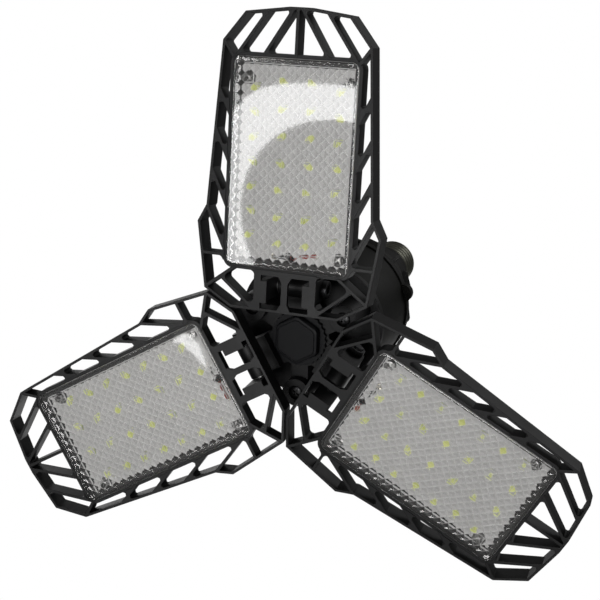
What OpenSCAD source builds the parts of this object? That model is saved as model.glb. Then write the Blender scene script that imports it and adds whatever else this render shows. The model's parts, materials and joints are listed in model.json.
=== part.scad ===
// Folding three-panel garage light that hangs from a screw lampholder.
// Millimetres, +Z up. The origin is on the axis at the rim of the screw shell, so the
// lampholder is above it and the whole light hangs below. Each panel turns on its own
// hinge: at tilt 0 it is level, a positive tilt lifts its tip towards the lampholder.

/* [Lens] */
// Length of a lens, along the panel
lens_l = 100; // [90:1:112]
// Width of a lens
lens_w = 62.4; // [56:0.2:64]
// Corner radius of a lens
lens_r = 3.6; // [2:0.2:6]
// Thickness of the lens face
lens_t = 1.8; // [1.2:0.1:2.4]
// Thickness of the skirt under the lens edge
skirt_t = 1.5; // [1:0.1:2.5]
// Thickness of the gasket under the skirt
gasket_t = 0.8; // [0.4:0.1:1]

/* [Light board] */
// Distance from the lens face to the top of the light chips
chip_depth = 4.9; // [4:0.1:5.5]
// Height of a light chip
chip_h = 0.7; // [0.5:0.1:1]
// Length of a light chip, across the panel
chip_l = 3.5; // [2.8:0.1:4.5]
// Width of a light chip, along the panel
chip_w = 2.8; // [2:0.1:3.4]
// Most chips in a column
chips_n = 7; // [4:1:7]
// Distance of the two inner columns from the middle
inner_column = 7.2; // [5.5:0.1:8.5]
// Distance of the two outer columns from the middle
outer_column = 21.6; // [18:0.1:22.5]
// First chip of an inner column, from the hub end of the lens
inner_start = 11.5; // [10:0.1:13]
// First chip of an outer column, from the hub end of the lens
outer_start = 14.9; // [13.5:0.1:16]
// Chip spacing along an inner column
inner_pitch = 12.9; // [10:0.1:13]
// Chip spacing along an outer column
outer_pitch = 11.8; // [9:0.1:12]
// Least distance of a column's last chip from the tip end of the lens
chip_end_room = 10; // [8:0.5:11]
// Thickness of the light board
board_t = 1.2; // [1:0.1:2]

/* [Panel frame] */
// Depth of the rim, front to back
frame_depth = 10; // [9.6:0.1:10.4]
// Thickness of the rim wall
rim_t = 1.3; // [1:0.1:2]
// Thickness of the ribs
rib_t = 1.5; // [1.2:0.1:2.2]
// Depth of the ribs
rib_depth = 8; // [5:0.5:9]
// Radius of the rounds where the ribs meet a wall
rib_round = 1.2; // [0.6:0.1:1.6]
// Thickness of the tray wall beside the lens
tray_wall = 1.6; // [1.2:0.1:2.2]
// Thickness of the tray floor
tray_floor = 1.6; // [1.2:0.1:2]
// How far the lens stands in front of the tray wall
lens_proud = 0.6; // [0.2:0.1:1]
// Tip of the frame beyond the lens
tip_over = 23.5; // [16:0.5:26]
// Half width of the flat at the tip
apex_half = 4; // [2:0.5:8]
// Half width where the tip edge turns down to the corner
shoulder_half = 26.2; // [20:0.2:28]
// Drop of the tip edge from the flat to that turn
shoulder_drop = 2.8; // [1.5:0.1:5]
// Half width at the tip corner
corner_half = 37.2; // [36:0.1:39]
// Tip corner beyond the lens
corner_over = 7; // [4:0.5:9]
// Half width at the waist, just before the frame flares
waist_half = 42.6; // [41:0.1:43.5]
// Waist from the hub end of the lens
waist_v = 28; // [25:0.5:32]
// Half width at the flare
flare_half = 47; // [44.5:0.1:48]
// Flare from the hub end of the lens
flare_v = 19.6; // [16:0.2:22]
// Half width at the hub corner
hub_corner_half = 42.1; // [39.5:0.1:42.3]
// Hub corner inside the lens's hub end
hub_corner_in = 13; // [11:0.1:13.2]
// Half length of the edge that faces the hub
hub_edge_half = 27.8; // [24:0.1:28]
// Hub edge inside the lens's hub end
hub_edge_in = 21.3; // [20.5:0.1:21.4]
// Spacing of the slanted side ribs
side_rib_pitch = 19.2; // [14:0.1:24]
// Slanted ribs on each side
side_ribs_n = 4; // [3:1:4]
// Rise of a slanted rib along the panel for each millimetre across
side_rib_slope = 2.05; // [1.6:0.05:2.6]
// Where the inner fan rib meets the tray, from the middle
fan_inner_foot = 16; // [12:0.5:19]
// Where the outer fan rib meets the tray, from the middle
fan_outer_foot = 29.4; // [25:0.2:30]
// Where the inner fan rib meets the tip edge
fan_inner_head = 2; // [1:0.5:4]
// Where the outer fan rib meets the tip edge
fan_outer_head = 14.8; // [11:0.2:18]
// Cross rib beside the lens, from its hub end
cross_rib_v = 4.4; // [2:0.2:7]
// Cooling fins on the back of the tray
fins_n = 9; // [5:2:13]
// Thickness of a cooling fin
fin_t = 1.4; // [1:0.1:2]

/* [Hub plate of a panel] */
// Half width of the slotted plate
plate_half = 16; // [15:0.1:17.5]
// Thickness of the slotted plate
plate_t = 2; // [1.5:0.1:3]
// Half width of the bridge between the two slots
bridge_half = 1.6; // [1:0.1:2.4]
// Half width of the bridge at its two ends
bridge_end_half = 3.4; // [2.8:0.1:4.4]
// Outer side of a slot, from the middle
slot_half = 9.2; // [8.4:0.1:9.2]
// Outer side of a slot's two side notches, from the middle
notch_half = 12.4; // [11:0.1:13]
// Width of a side notch
notch_w = 2.7; // [2:0.1:3]
// Slot end nearest the lens, from the lens
slot_lens_gap = 2; // [1.6:0.1:2.5]
// Slot end nearest the hub edge, from the lens
slot_hub_end = 20; // [19.2:0.1:20]

/* [Hinges] */
// Distance of a hinge axis from the light's own axis
hinge_r = 27.6; // [27:0.1:29]
// Hinge axis inside the lens's hub end
hinge_in = 11; // [10.5:0.1:11]
// Hinge axis behind the lens face
hinge_back = 19.7; // [19.3:0.1:22]
// Radius of the hub knuckle
knuckle_r = 5.5; // [5:0.1:6]
// Half length of the hub knuckle
knuckle_half = 9; // [8:0.1:9]
// Radius of a panel lug
lug_r = 5.2; // [5:0.1:6]
// Thickness of a panel lug
lug_t = 3.4; // [2.4:0.1:4]
// Radius of the hinge bolt
bolt_r = 2.5; // [2:0.1:3]
// Radius of the bolt head
bolt_head_r = 4.4; // [3.8:0.1:4.8]
// Height of the bolt head
bolt_head_h = 2.8; // [2:0.1:3.2]
// Width of the nut across its flats
nut_af = 8; // [7.4:0.1:9]
// Thickness of the nut
nut_h = 3; // [2.4:0.1:4]
// Thickness of a friction washer
washer_t = 0.5; // [0.3:0.1:1]
// Radius of a friction washer
washer_r = 4.8; // [4:0.1:5]
// Upward tilt of the front panel at rest, in degrees
tilt_front = 5.4; // [0.6:0.1:90]
// Upward tilt of the right panel at rest, in degrees
tilt_right = 4.2; // [0.6:0.1:90]
// Upward tilt of the left panel at rest, in degrees
tilt_left = -6.7; // [-6.7:0.1:90]

/* [Hub] */
// Distance from the lens faces up to the rim of the screw shell
light_depth = 158; // [150:1:172]
// Radius of the hub core
core_r = 15.4; // [15:0.1:17]
// Distance from the lens faces to the face of the hexagon cap
cap_depth = 17; // [15:0.5:18]
// Width of the hexagon cap across its flats
cap_af = 22.4; // [20:0.2:24]
// Height of the hexagon cap
cap_h = 4.2; // [3:0.2:5]
// Chamfer round the cap's face
cap_chamfer = 0.9; // [0.4:0.1:1.4]
// Radius of the toothed lock ring
ring_r = 14.6; // [13.8:0.1:15]
// Thickness of the lock ring
ring_t = 2; // [1.5:0.1:3]
// Teeth round the lock ring
ring_teeth = 30; // [18:1:40]
// Depth of a tooth
tooth_h = 0.8; // [0.4:0.1:1.2]
// Distance of the three posts from the axis
post_reach = 28; // [26:0.5:29]
// Radius of a post
post_r = 7.2; // [6:0.1:7.6]
// Distance from the lens faces to the top of the posts
post_depth = 18; // [16:0.5:22]
// Thickness of the web between a post and the core
post_web_t = 9; // [6:0.5:11]
// Radius of a post screw's shank
post_screw_r = 2; // [1.5:0.1:2.4]
// Radius of a post screw's head
post_head_r = 3.6; // [3:0.1:4.2]
// Height of a post screw's head
post_head_h = 2.4; // [1.8:0.1:3]

/* [Driver housing] */
// Distance from the lens faces to the front of the housing
housing_depth = 39; // [38:0.5:44]
// Length of the straight part of the housing
housing_l = 50; // [40:1:52]
// Outer radius of the housing at its far end
housing_r = 35.6; // [33:0.1:36]
// How much smaller the housing is at its front
housing_draft = 1.2; // [0:0.1:3]
// Wall thickness of the housing
housing_wall = 2; // [1.6:0.1:3]
// Thickness of the front cover of the housing
cover_t = 3; // [2.4:0.1:4]
// Radius of the cover's three lobes
cover_lobe_r = 29.5; // [27:0.1:30]
// Distance of a lobe's middle from the axis
cover_lobe_at = 10; // [8:0.2:10.4]
// How far the lip round the far end of the housing stands out
lip_over = 0.9; // [0.5:0.1:1.2]
// Height of that lip
lip_h = 5; // [3:0.5:7]
// How far the three lugs of the lip stand out from the housing
lug_over = 4.2; // [2.4:0.1:5.4]
// Turn of the lugs from the posts, in degrees
lug_turn = 14; // [0:1:30]
// Radius of a lip lug's end
lip_lug_r = 5; // [4:0.1:6]
// Radius of a lip lug's screw
lug_screw_r = 1.4; // [1:0.1:1.6]
// Radius of that screw's head
lug_head_r = 2.3; // [1.8:0.1:2.6]
// Height of that screw's head
lug_head_h = 1.8; // [1.4:0.1:2.4]
// Height of the cone from the housing to the neck
cone_h = 46; // [14:1:48]
// Radius of the neck at the foot of the cone
neck_r = 18.5; // [17.5:0.1:20]
// Radius of the neck at the collar
neck_top_r = 16.5; // [16.2:0.1:17.4]
// Ribs on the cone
cone_ribs_n = 12; // [6:1:18]
// Thickness of a rib on the cone
cone_rib_t = 1.6; // [1.2:0.1:2.4]
// How far a rib stands off the cone
cone_rib_h = 3.6; // [2:0.2:4.4]
// Height of the collar under the screw shell
collar_h = 8; // [6:0.5:10]
// Radius of the collar
collar_r = 15.6; // [15:0.1:16]
// Thickness of the driver board
driver_t = 1.6; // [1.2:0.1:2]
// Distance from the front of the housing to the driver board
driver_in = 26; // [22:0.5:30]
// Width and length of the transformer
transformer_w = 16; // [12:1:18]
// Height of the transformer
transformer_h = 14; // [10:1:17]
// Radius of the two capacitors
capacitor_r = 5; // [4:0.5:6]
// Height of the two capacitors
capacitor_h = 16; // [10:1:19]
// Distance of a capacitor from the axis
capacitor_reach = 22.4; // [20:0.2:24]
// Radius of the choke
choke_r = 6; // [4:0.5:7]
// Height of the choke
choke_h = 10; // [6:1:14]
// Distance of the choke from the axis
choke_reach = 20; // [18:0.5:22]

/* [Screw base] */
// Radius of the screw shell over its thread crests
shell_r = 13.1; // [12.5:0.1:13.4]
// Wall thickness of the screw shell
shell_wall = 0.6; // [0.4:0.1:1]
// Height of the screw shell
shell_h = 22; // [15:0.5:24]
// Radius of the shell's open end
shell_mouth_r = 9; // [8:0.1:10]
// Height of the insulator above the shell
insulator_h = 5; // [3.5:0.5:7]
// Radius of the centre contact
contact_r = 4.6; // [3.5:0.1:5.5]
// Height of the centre contact
contact_h = 2.4; // [1.5:0.1:3]

/* [Clearances] */
// Lens to tray wall
lens_gap = 0.2; // [0.1:0.05:0.4]
// Bolt in its hole, on the radius
bolt_gap = 0.05; // [0.02:0.01:0.1]
// Washer to the knuckle and the lug
washer_gap = 0.05; // [0.02:0.01:0.1]
// Screws and boards in their seats
seat_gap = 0.1; // [0.05:0.05:0.3]

/* [Hidden] */
PANELS = ["front", "right", "left"];
$fn = 64;

// Azimuth and resting tilt of each panel, in the order of PANELS
azimuth = [-90, 30, 150];
tilt = [tilt_front, tilt_right, tilt_left];
post_azimuths = [-30, 90, 210];

// Places along a panel, seen from the lens's hub end
tray_half = lens_w / 2 + lens_gap + tray_wall;
tray_tip = lens_l + lens_gap + tray_wall;
tray_hub = -lens_gap - tray_wall;
board_depth = chip_depth + chip_h;
floor_depth = board_depth + board_t;
skirt_end = board_depth - gasket_t;
fin_depth = floor_depth + tray_floor;
lug_in = knuckle_half + washer_t + 2 * washer_gap;
lug_out = lug_in + lug_t;

// Half of the frame's outline, from the tip to the hub edge, as [along, across]
half_outline = [
    [lens_l + tip_over, apex_half],
    [lens_l + tip_over - shoulder_drop, shoulder_half],
    [lens_l + corner_over, corner_half],
    [waist_v, waist_half],
    [flare_v, flare_half],
    [-hub_corner_in, hub_corner_half],
    [-hub_edge_in, hub_edge_half]];
outline = concat(half_outline,
    [for (i = [len(half_outline) - 1 : -1 : 0]) [half_outline[i][0], -half_outline[i][1]]]);

// A counter-clockwise outline moved inwards by a distance, with its corners kept sharp
function unit(d) = d / norm(d);
function left_of(d) = [-d[1], d[0]];
function inset(points, by) = [
    for (i = [0 : len(points) - 1])
        let (n = len(points),
             before = left_of(unit(points[i] - points[(i + n - 1) % n])),
             after = left_of(unit(points[(i + 1) % n] - points[i])))
        points[i] + by * (before + after) / (1 + before * after)];

rim_inside = inset(outline, rim_t);

// Half width of the rim between the waist and the tip corner
function rim_half(v) = waist_half
    + (corner_half - waist_half) * (v - waist_v) / (lens_l + corner_over - waist_v);
// Height of the tip edge at a distance from the middle
function tip_edge(u) = lens_l + tip_over
    - shoulder_drop * max(0, u - apex_half) / (shoulder_half - apex_half);

// How far a rib runs on into the walls it joins, and where a corner rib leaves the tray
rib_past = 2;
// How deep the root of a round lies in the walls, and the radius of the rounds by the plate
round_root = 0.3;
plate_round = 2;
hub_rib_foot = 5.5;

// Where the four screws of a light board sit
screw_side = 6;
screw_tip = 10;
screw_hub = 7;
board_screw_r = 1.5;
board_head_r = 2.7;
board_head_h = 1.6;
screw_places = [for (v = [screw_hub, lens_l - screw_tip]) for (s = [-1, 1])
    [v, s * (lens_w / 2 - screw_side)]];
boss_r = 3.2;

// Where the leads come through the floor of a panel
lead_v = 5.2;
lead_hole_r = 2.2;
grommet_flange_r = 3.4;
grommet_flange_h = 0.8;
lead_r = 0.8;
lead_end_r = 0.7;
lead_spread = 1.1;
lead_reach = 13;

// Small features of the housing
lip_r = housing_r + lip_over;
lug_reach = housing_r + lug_over;
lip_bevel = 1;
spigot_h = 2.5;
ledge_h = 1.5;
ledge_w = 1;
ledge_slack = 0.4;
capacitor_turn = 26.6;
lug_rim = 0.6;
flat_step = 0.3;
lug_root = 0.3;
lug_floor = 0.8;

// Where the leads leave the housing cover, between the hub core and each knuckle
hub_lead_r = 22.5;
hub_grommet_r = 3;
hub_grommet_h = 2.4;

frame_colour = [0.09, 0.09, 0.095];
hub_colour = [0.07, 0.07, 0.075];
board_colour = [0.86, 0.87, 0.87];
metal_colour = [0.62, 0.63, 0.64];

// ---- Places ----

// Depths behind the lens faces become heights under the screw shell's rim
function height(depth) = depth - light_depth;

// Puts a child, drawn round its hinge axis, where panel i has it
module at_hinge(i) {
    rotate([0, 0, azimuth[i]])
        translate([hinge_r, 0, height(hinge_back)])
            rotate([0, -tilt[i], 0]) children();
}

// Puts a child, drawn from the lens's hub end and face, on panel i
module on_panel(i) {
    at_hinge(i) translate([hinge_in, 0, -hinge_back]) children();
}

// Turns a cylinder to lie along a panel's hinge axis
module along_hinge(from) {
    translate([0, from, 0]) rotate([-90, 0, 0]) children();
}

module at_posts(reach) {
    for (a = post_azimuths) rotate([0, 0, a]) translate([reach, 0, 0]) children();
}

// ---- Flat shapes ----

// A straight bar between two points, which runs on past both of them
module bar(p, q, t, past = 0) {
    d = q - p;
    translate(p) rotate(atan2(d[1], d[0])) translate([-past, -t / 2])
        square([norm(d) + 2 * past, t]);
}

// Fills the corner where two straight sides meet with a round made of straight steps. Each
// side is given by a point on it and its direction away from the corner.
module corner_round(a, d, b, e, r) {
    u = unit(d);
    w = unit(e);
    corner = a + u * cross(b - a, w) / cross(u, w);
    half = acos(u * w) / 2;
    middle = corner + unit(u + w) * r / sin(half);
    from = (corner + u * r / tan(half) - middle) / r;
    to = (corner + w * r / tan(half) - middle) / r;
    polygon(concat(
        [corner - unit(u + w) * round_root / sin(half), middle + from * (r + round_root)],
        [for (k = [1 : 3]) middle + r * unit(from * (4 - k) + to * k)],
        [middle + to * (r + round_root)]));
}

// A rectangle with round corners, from v0 to v1 along and half_w each way across
module round_rect(v0, v1, half_w, r) {
    translate([v0 + r, -half_w]) square([v1 - v0 - 2 * r, 2 * half_w]);
    translate([v0, -half_w + r]) square([v1 - v0, 2 * half_w - 2 * r]);
    for (v = [v0 + r, v1 - r]) for (u = [-half_w + r, half_w - r])
        translate([v, u]) circle(r, $fn = 32);
}

module lens_rect(grow) {
    round_rect(-grow, lens_l + grow, lens_w / 2 + grow, lens_r + grow);
}

// ---- Panel frame ----

module rim_flat() {
    difference() {
        polygon(outline);
        polygon(inset(outline, rim_t));
    }
}

// Slanted ribs from the rim down to the tray, on one side
module side_ribs_flat() {
    for (i = [0 : side_ribs_n - 1]) {
        v = waist_v - rim_t + i * side_rib_pitch;
        head = rim_half(v) - rim_t / 2;
        foot = tray_half - tray_wall / 2;
        bar([v, head], [v - side_rib_slope * (head - foot), foot], rib_t, rib_past);
        // Rounds in its two sharp corners
        up = unit([side_rib_slope, 1]);
        side = left_of(up) * rib_t / 2;
        corner_round([v, head] - side, up, [v, tray_half], [1, 0], rib_round);
        if (i > 0) corner_round([v, head] + side, -up, rim_inside[3], rim_inside[3] - rim_inside[2],
            rib_round);
    }
}

// A rib of the fan, with rounds in its sharp corners at the tray and at the tip edge
module fan_rib(foot, head) {
    p = [tray_tip - tray_wall / 2, foot];
    q = [tip_edge(head) - rim_t / 2, head];
    up = unit(q - p);
    side = left_of(up) * rib_t / 2;
    bar(p, q, rib_t, rib_past);
    corner_round(p - side, up, [tray_tip, 0], [0, -1], rib_round);
    corner_round(q + side, -up, rim_inside[1], rim_inside[1] - rim_inside[0], rib_round);
}

// Fan of ribs between the tray and the tip edge, on one side
module fan_ribs_flat() {
    foot_v = tray_tip - tray_wall / 2;
    fan_rib(fan_inner_foot, fan_inner_head);
    fan_rib(fan_outer_foot, fan_outer_head);
    bar([foot_v - lens_r / 2, tray_half - lens_r / 2],
        [lens_l + corner_over - rim_t, corner_half - rim_t], rib_t, rib_past);
}

// Ribs round the hub end, on one side
module hub_ribs_flat() {
    inner = tray_half - tray_wall / 2;
    corner = [rim_t - hub_corner_in, hub_corner_half - rim_t];
    start = [tray_hub + tray_wall / 2, inner - hub_rib_foot];
    meet = (start + corner) / 2;
    bar([cross_rib_v, inner], [cross_rib_v, flare_half - rim_t], rib_t, rib_past);
    bar(start, corner, rib_t, rib_past);
    bar([rim_t / 2 - hub_edge_in, plate_half], meet, rib_t);
    for (s = [-1, 1]) {
        face = [cross_rib_v + s * rib_t / 2, tray_half];
        corner_round(face, [0, 1], face, [s, 0], plate_round);
    }
    // The opening beside the hub plate
    up = unit(meet - [rim_t / 2 - hub_edge_in, plate_half]);
    out = unit(corner - start);
    face = meet - left_of(up) * rib_t / 2;
    corner_round([tray_hub, plate_half], [0, 1], [tray_hub, plate_half], [-1, 0], plate_round);
    corner_round([0, plate_half], [1, 0], face, up, plate_round);
    corner_round(face, -up, meet + left_of(out) * rib_t / 2, -out, plate_round);
}

// All the ribs, which end inside the rim and inside the tray wall
module ribs_flat() {
    difference() {
        intersection() {
            polygon(inset(outline, rim_t / 2));
            union() {
                for (s = [0, 1]) mirror([0, s]) {
                    side_ribs_flat();
                    fan_ribs_flat();
                    hub_ribs_flat();
                }
                bar([tray_tip - tray_wall, 0], [lens_l + tip_over, 0], rib_t);
            }
        }
        lens_rect(lens_gap + tray_wall / 2);
    }
}

// One slot of the hub plate: a long opening with a notch at each outer end
module slot_flat() {
    a = -slot_lens_gap - tray_wall;
    b = -slot_hub_end;
    slope = bridge_end_half - bridge_half + notch_w / 2;
    polygon([[a, bridge_end_half], [a, notch_half], [a - notch_w, notch_half],
             [a - notch_w, slot_half], [b + notch_w, slot_half], [b + notch_w, notch_half],
             [b, notch_half], [b, bridge_end_half], [b + slope, bridge_half],
             [a - slope, bridge_half]]);
}

module plate_flat() {
    difference() {
        translate([rim_t / 2 - hub_edge_in, -plate_half])
            square([hub_edge_in + tray_hub + tray_wall / 2 - rim_t / 2, 2 * plate_half]);
        slot_flat();
        mirror([0, 1]) slot_flat();
    }
}

module lead_hole(r) {
    translate([lead_v, 0, board_depth - 1]) cylinder(r = r, h = frame_depth);
}

module tray() {
    difference() {
        union() {
            translate([0, 0, lens_proud])
                linear_extrude(fin_depth - lens_proud) lens_rect(lens_gap + tray_wall);
            fin_step = 2 * (tray_half - lens_r - tray_wall) / (fins_n - 1);
            for (i = [0 : fins_n - 1])
                translate([lens_r, -tray_half + lens_r + tray_wall + i * fin_step - fin_t / 2,
                           floor_depth])
                    cube([lens_l - 2 * lens_r, fin_t, frame_depth - floor_depth]);
            for (p = screw_places) translate([p[0], p[1], floor_depth])
                cylinder(r = boss_r, h = frame_depth - floor_depth);
            translate([lead_v, 0, floor_depth])
                cylinder(r = grommet_flange_r + 1, h = frame_depth - floor_depth);
        }
        linear_extrude(floor_depth) lens_rect(lens_gap);
        for (p = screw_places) translate([p[0], p[1], board_depth])
            cylinder(r = board_screw_r + bolt_gap, h = frame_depth, $fn = 32);
        lead_hole(lead_hole_r + seat_gap);
    }
}

// Two lugs that carry the hinge bolt behind the hub plate
module lugs() {
    for (s = [0, 1]) mirror([0, s, 0]) translate([0, lug_in, 0]) rotate([-90, 0, 0])
        linear_extrude(lug_t) difference() {
            union() {
                circle(lug_r);
                translate([-lug_r, 0]) square([2 * lug_r, hinge_back - plate_t / 2]);
            }
            circle(bolt_r + bolt_gap);
        }
}

module panel_frame(i) {
    color(frame_colour) {
        on_panel(i) {
            linear_extrude(frame_depth) rim_flat();
            linear_extrude(rib_depth) ribs_flat();
            linear_extrude(plate_t) plate_flat();
            tray();
        }
        at_hinge(i) lugs();
    }
}

// ---- What the tray holds ----

module lens(i) {
    color([0.88, 0.92, 0.94, 0.45]) on_panel(i) {
        difference() {
            linear_extrude(skirt_end) lens_rect(0);
            translate([0, 0, lens_t]) linear_extrude(skirt_end) lens_rect(-skirt_t);
        }
    }
}

module gasket(i) {
    color([0.2, 0.2, 0.21]) on_panel(i) translate([0, 0, skirt_end])
        linear_extrude(gasket_t) difference() {
            lens_rect(0);
            lens_rect(-skirt_t);
        }
}

module light_board(i) {
    color(board_colour) on_panel(i) difference() {
        translate([0, 0, board_depth]) linear_extrude(board_t) lens_rect(0);
        for (p = screw_places) translate([p[0], p[1], board_depth - 1])
            cylinder(r = board_screw_r + seat_gap, h = board_t + 2, $fn = 32);
        lead_hole(lead_hole_r + seat_gap);
    }
}

// One column of chips on each side of the middle, as many as the lens has room for
module chip_columns(start, pitch, column) {
    fit = min(chips_n, 1 + floor((lens_l - chip_end_room - start) / pitch));
    for (k = [0 : fit - 1]) for (s = [-1, 1])
        translate([start + k * pitch - chip_w / 2, s * column - chip_l / 2, chip_depth])
            cube([chip_w, chip_l, chip_h]);
}

module chips(i) {
    color([0.93, 0.9, 0.45]) on_panel(i) {
        chip_columns(inner_start, inner_pitch, inner_column);
        chip_columns(outer_start, outer_pitch, outer_column);
    }
}

module board_screws(i) {
    color(metal_colour) on_panel(i) for (p = screw_places) translate([p[0], p[1], 0]) {
        translate([0, 0, board_depth - board_head_h])
            cylinder(r = board_head_r, h = board_head_h, $fn = 32);
        translate([0, 0, board_depth])
            cylinder(r = board_screw_r, h = frame_depth - board_depth - 0.4, $fn = 32);
    }
}

module lead_grommet(i) {
    color([0.12, 0.12, 0.12]) on_panel(i) translate([lead_v, 0, 0]) difference() {
        union() {
            translate([0, 0, board_depth]) cylinder(r = lead_hole_r, h = frame_depth - board_depth);
            translate([0, 0, frame_depth])
                cylinder(r = grommet_flange_r, h = grommet_flange_h, $fn = 32);
        }
        for (s = [-1, 1]) translate([0, s * lead_spread, board_depth - 1])
            cylinder(r = lead_r + seat_gap / 2, h = frame_depth, $fn = 24);
    }
}

// The two leads, from the grommet to their solder pads on the board
module lead_ends(i) {
    color([0.75, 0.12, 0.08]) on_panel(i) for (s = [-1, 1]) {
        translate([lead_v, s * lead_spread, board_depth - 2 * lead_r])
            cylinder(r = lead_r, h = frame_depth + grommet_flange_h - board_depth + 2 * lead_r,
                     $fn = 24);
        translate([lead_v, s * lead_spread, board_depth - lead_end_r]) rotate([-90 * s, 0, 0])
            cylinder(r = lead_end_r, h = lead_reach, $fn = 24);
    }
}

// ---- Hinge hardware ----

module hinge_bolt(i) {
    color(metal_colour) at_hinge(i) {
        along_hinge(lug_out) cylinder(r = bolt_head_r, h = bolt_head_h);
        along_hinge(-lug_out - nut_h - 1) cylinder(r = bolt_r, h = 2 * lug_out + nut_h + 1);
    }
}

module hinge_nut(i) {
    color(metal_colour) at_hinge(i) along_hinge(-lug_out - nut_h) difference() {
        cylinder(d = nut_af / cos(30), h = nut_h, $fn = 6);
        translate([0, 0, -1]) cylinder(r = bolt_r + bolt_gap, h = nut_h + 2);
    }
}

module washers(i) {
    color(metal_colour) at_hinge(i)
        for (from = [knuckle_half + washer_gap, -knuckle_half - washer_gap - washer_t])
            along_hinge(from) difference() {
                cylinder(r = washer_r, h = washer_t);
                translate([0, 0, -1]) cylinder(r = bolt_r + bolt_gap, h = washer_t + 2);
            }
}

// ---- Hub ----

core_front = cap_depth + cap_h;
cap_stem_r = 6;
cap_stem_l = 10;
// An arm reaches behind its knuckle, and a step on its front rises just clear of the ring
arm_top = hinge_back + knuckle_r + 3;
arm_rise = 2;
arm_step_r = ring_r + 0.4;

module post_shape(r) {
    for (a = post_azimuths) rotate(a) translate([post_reach, 0]) circle(r);
}

module hub_body() {
    color(hub_colour) difference() {
        union() {
            translate([0, 0, height(core_front + ring_t)])
                cylinder(r = core_r, h = housing_depth - core_front - ring_t);
            // Webs that tie the posts to the core
            for (a = post_azimuths) rotate([0, 0, a])
                translate([0, -post_web_t / 2, height(core_front + ring_t)])
                    cube([post_reach, post_web_t, housing_depth - core_front - ring_t]);
            at_posts(post_reach) translate([0, 0, height(post_depth)])
                cylinder(r = post_r, h = housing_depth - post_depth);
            // Arms with the hinge knuckles
            for (a = azimuth) rotate([0, 0, a]) {
                translate([0, -knuckle_half, height(core_front + ring_t)])
                    cube([hinge_r, 2 * knuckle_half, arm_top - core_front - ring_t]);
                translate([hinge_r, 0, height(hinge_back)]) along_hinge(-knuckle_half)
                    cylinder(r = knuckle_r, h = 2 * knuckle_half);
                translate([arm_step_r, -knuckle_half, height(hinge_back - arm_rise)])
                    cube([hinge_r - arm_step_r, 2 * knuckle_half, knuckle_r]);
            }
        }
        for (a = azimuth) rotate([0, 0, a]) translate([hinge_r, 0, height(hinge_back)])
            along_hinge(-knuckle_half - 1) cylinder(r = bolt_r + bolt_gap, h = 2 * knuckle_half + 2);
        at_posts(post_reach) {
            translate([0, 0, height(post_depth + post_head_h)])
                cylinder(r = post_screw_r + seat_gap, h = housing_depth, $fn = 32);
            translate([0, 0, height(post_depth) - 1])
                cylinder(r = post_head_r + seat_gap, h = post_head_h + 1, $fn = 32);
        }
        // Bore for the stem of the cap
        translate([0, 0, height(core_front)]) cylinder(r = cap_stem_r + seat_gap, h = cap_stem_l);
    }
}

module lock_ring() {
    teeth = [for (k = [0 : 2 * ring_teeth - 1])
        let (r = ring_r - (k % 2) * tooth_h, a = 180 * k / ring_teeth)
        [r * cos(a), r * sin(a)]];
    color([0.12, 0.12, 0.125]) translate([0, 0, height(core_front)]) difference() {
        linear_extrude(ring_t) polygon(teeth);
        translate([0, 0, -1]) cylinder(r = cap_stem_r + seat_gap, h = ring_t + 2);
    }
}

module hex_cap() {
    cap_d = cap_af / cos(30);
    color([0.16, 0.16, 0.17]) translate([0, 0, height(cap_depth)]) rotate([0, 0, 30]) {
        cylinder(d1 = cap_d - 2 * cap_chamfer, d2 = cap_d, h = cap_chamfer, $fn = 6);
        translate([0, 0, cap_chamfer]) cylinder(d = cap_d, h = cap_h - cap_chamfer, $fn = 6);
        translate([0, 0, cap_h]) cylinder(r = cap_stem_r, h = cap_stem_l - 0.5);
    }
}

module post_screws() {
    color(metal_colour) at_posts(post_reach) {
        translate([0, 0, height(post_depth + 0.3)])
            cylinder(r = post_head_r, h = post_head_h - 0.3, $fn = 32);
        translate([0, 0, height(post_depth + post_head_h)])
            cylinder(r = post_screw_r, h = housing_depth + cover_t - post_depth - post_head_h,
                     $fn = 32);
    }
}

// ---- Driver housing ----

housing_front = height(housing_depth + cover_t);
housing_top = housing_front + housing_l;
cone_top = housing_top + cone_h;
collar_foot = -collar_h;
housing_front_r = housing_r - housing_draft;
driver_seat = housing_front + driver_in;

// The cover's rounded triangle: a lobe behind each post, joined by straight flats that lie
// just inside the lobes' common tangents
module cover_flat() {
    r = cover_lobe_r - flat_step;
    polygon([for (a = post_azimuths) for (s = [-60, 60])
        cover_lobe_at * [cos(a), sin(a)] + r * [cos(a + s), sin(a + s)]]);
    for (a = post_azimuths) rotate(a) translate([cover_lobe_at, 0]) circle(cover_lobe_r, $fn = 96);
}

module housing_cover() {
    color(hub_colour) difference() {
        translate([0, 0, height(housing_depth)]) union() {
            linear_extrude(cover_t) cover_flat();
            translate([0, 0, cover_t])
                cylinder(r = housing_front_r - housing_wall - seat_gap, h = 2, $fn = 96);
        }
        at_posts(post_reach) translate([0, 0, height(housing_depth) - 1])
            cylinder(r = post_screw_r + seat_gap, h = cover_t + 4, $fn = 32);
        for (a = azimuth) rotate([0, 0, a])
            translate([hub_lead_r, 0, height(housing_depth) - 1])
                cylinder(r = hub_grommet_r + seat_gap, h = cover_t + 4, $fn = 32);
    }
}

module hub_grommets() {
    color([0.12, 0.12, 0.12]) for (a = azimuth) rotate([0, 0, a])
        translate([hub_lead_r, 0, 0]) {
            translate([0, 0, height(housing_depth)])
                cylinder(r = hub_grommet_r, h = cover_t + 2, $fn = 32);
            translate([0, 0, height(housing_depth - hub_grommet_h)])
                cylinder(r1 = hub_grommet_r - 0.6, r2 = hub_grommet_r + 1, h = hub_grommet_h,
                         $fn = 32);
        }
}

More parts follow.
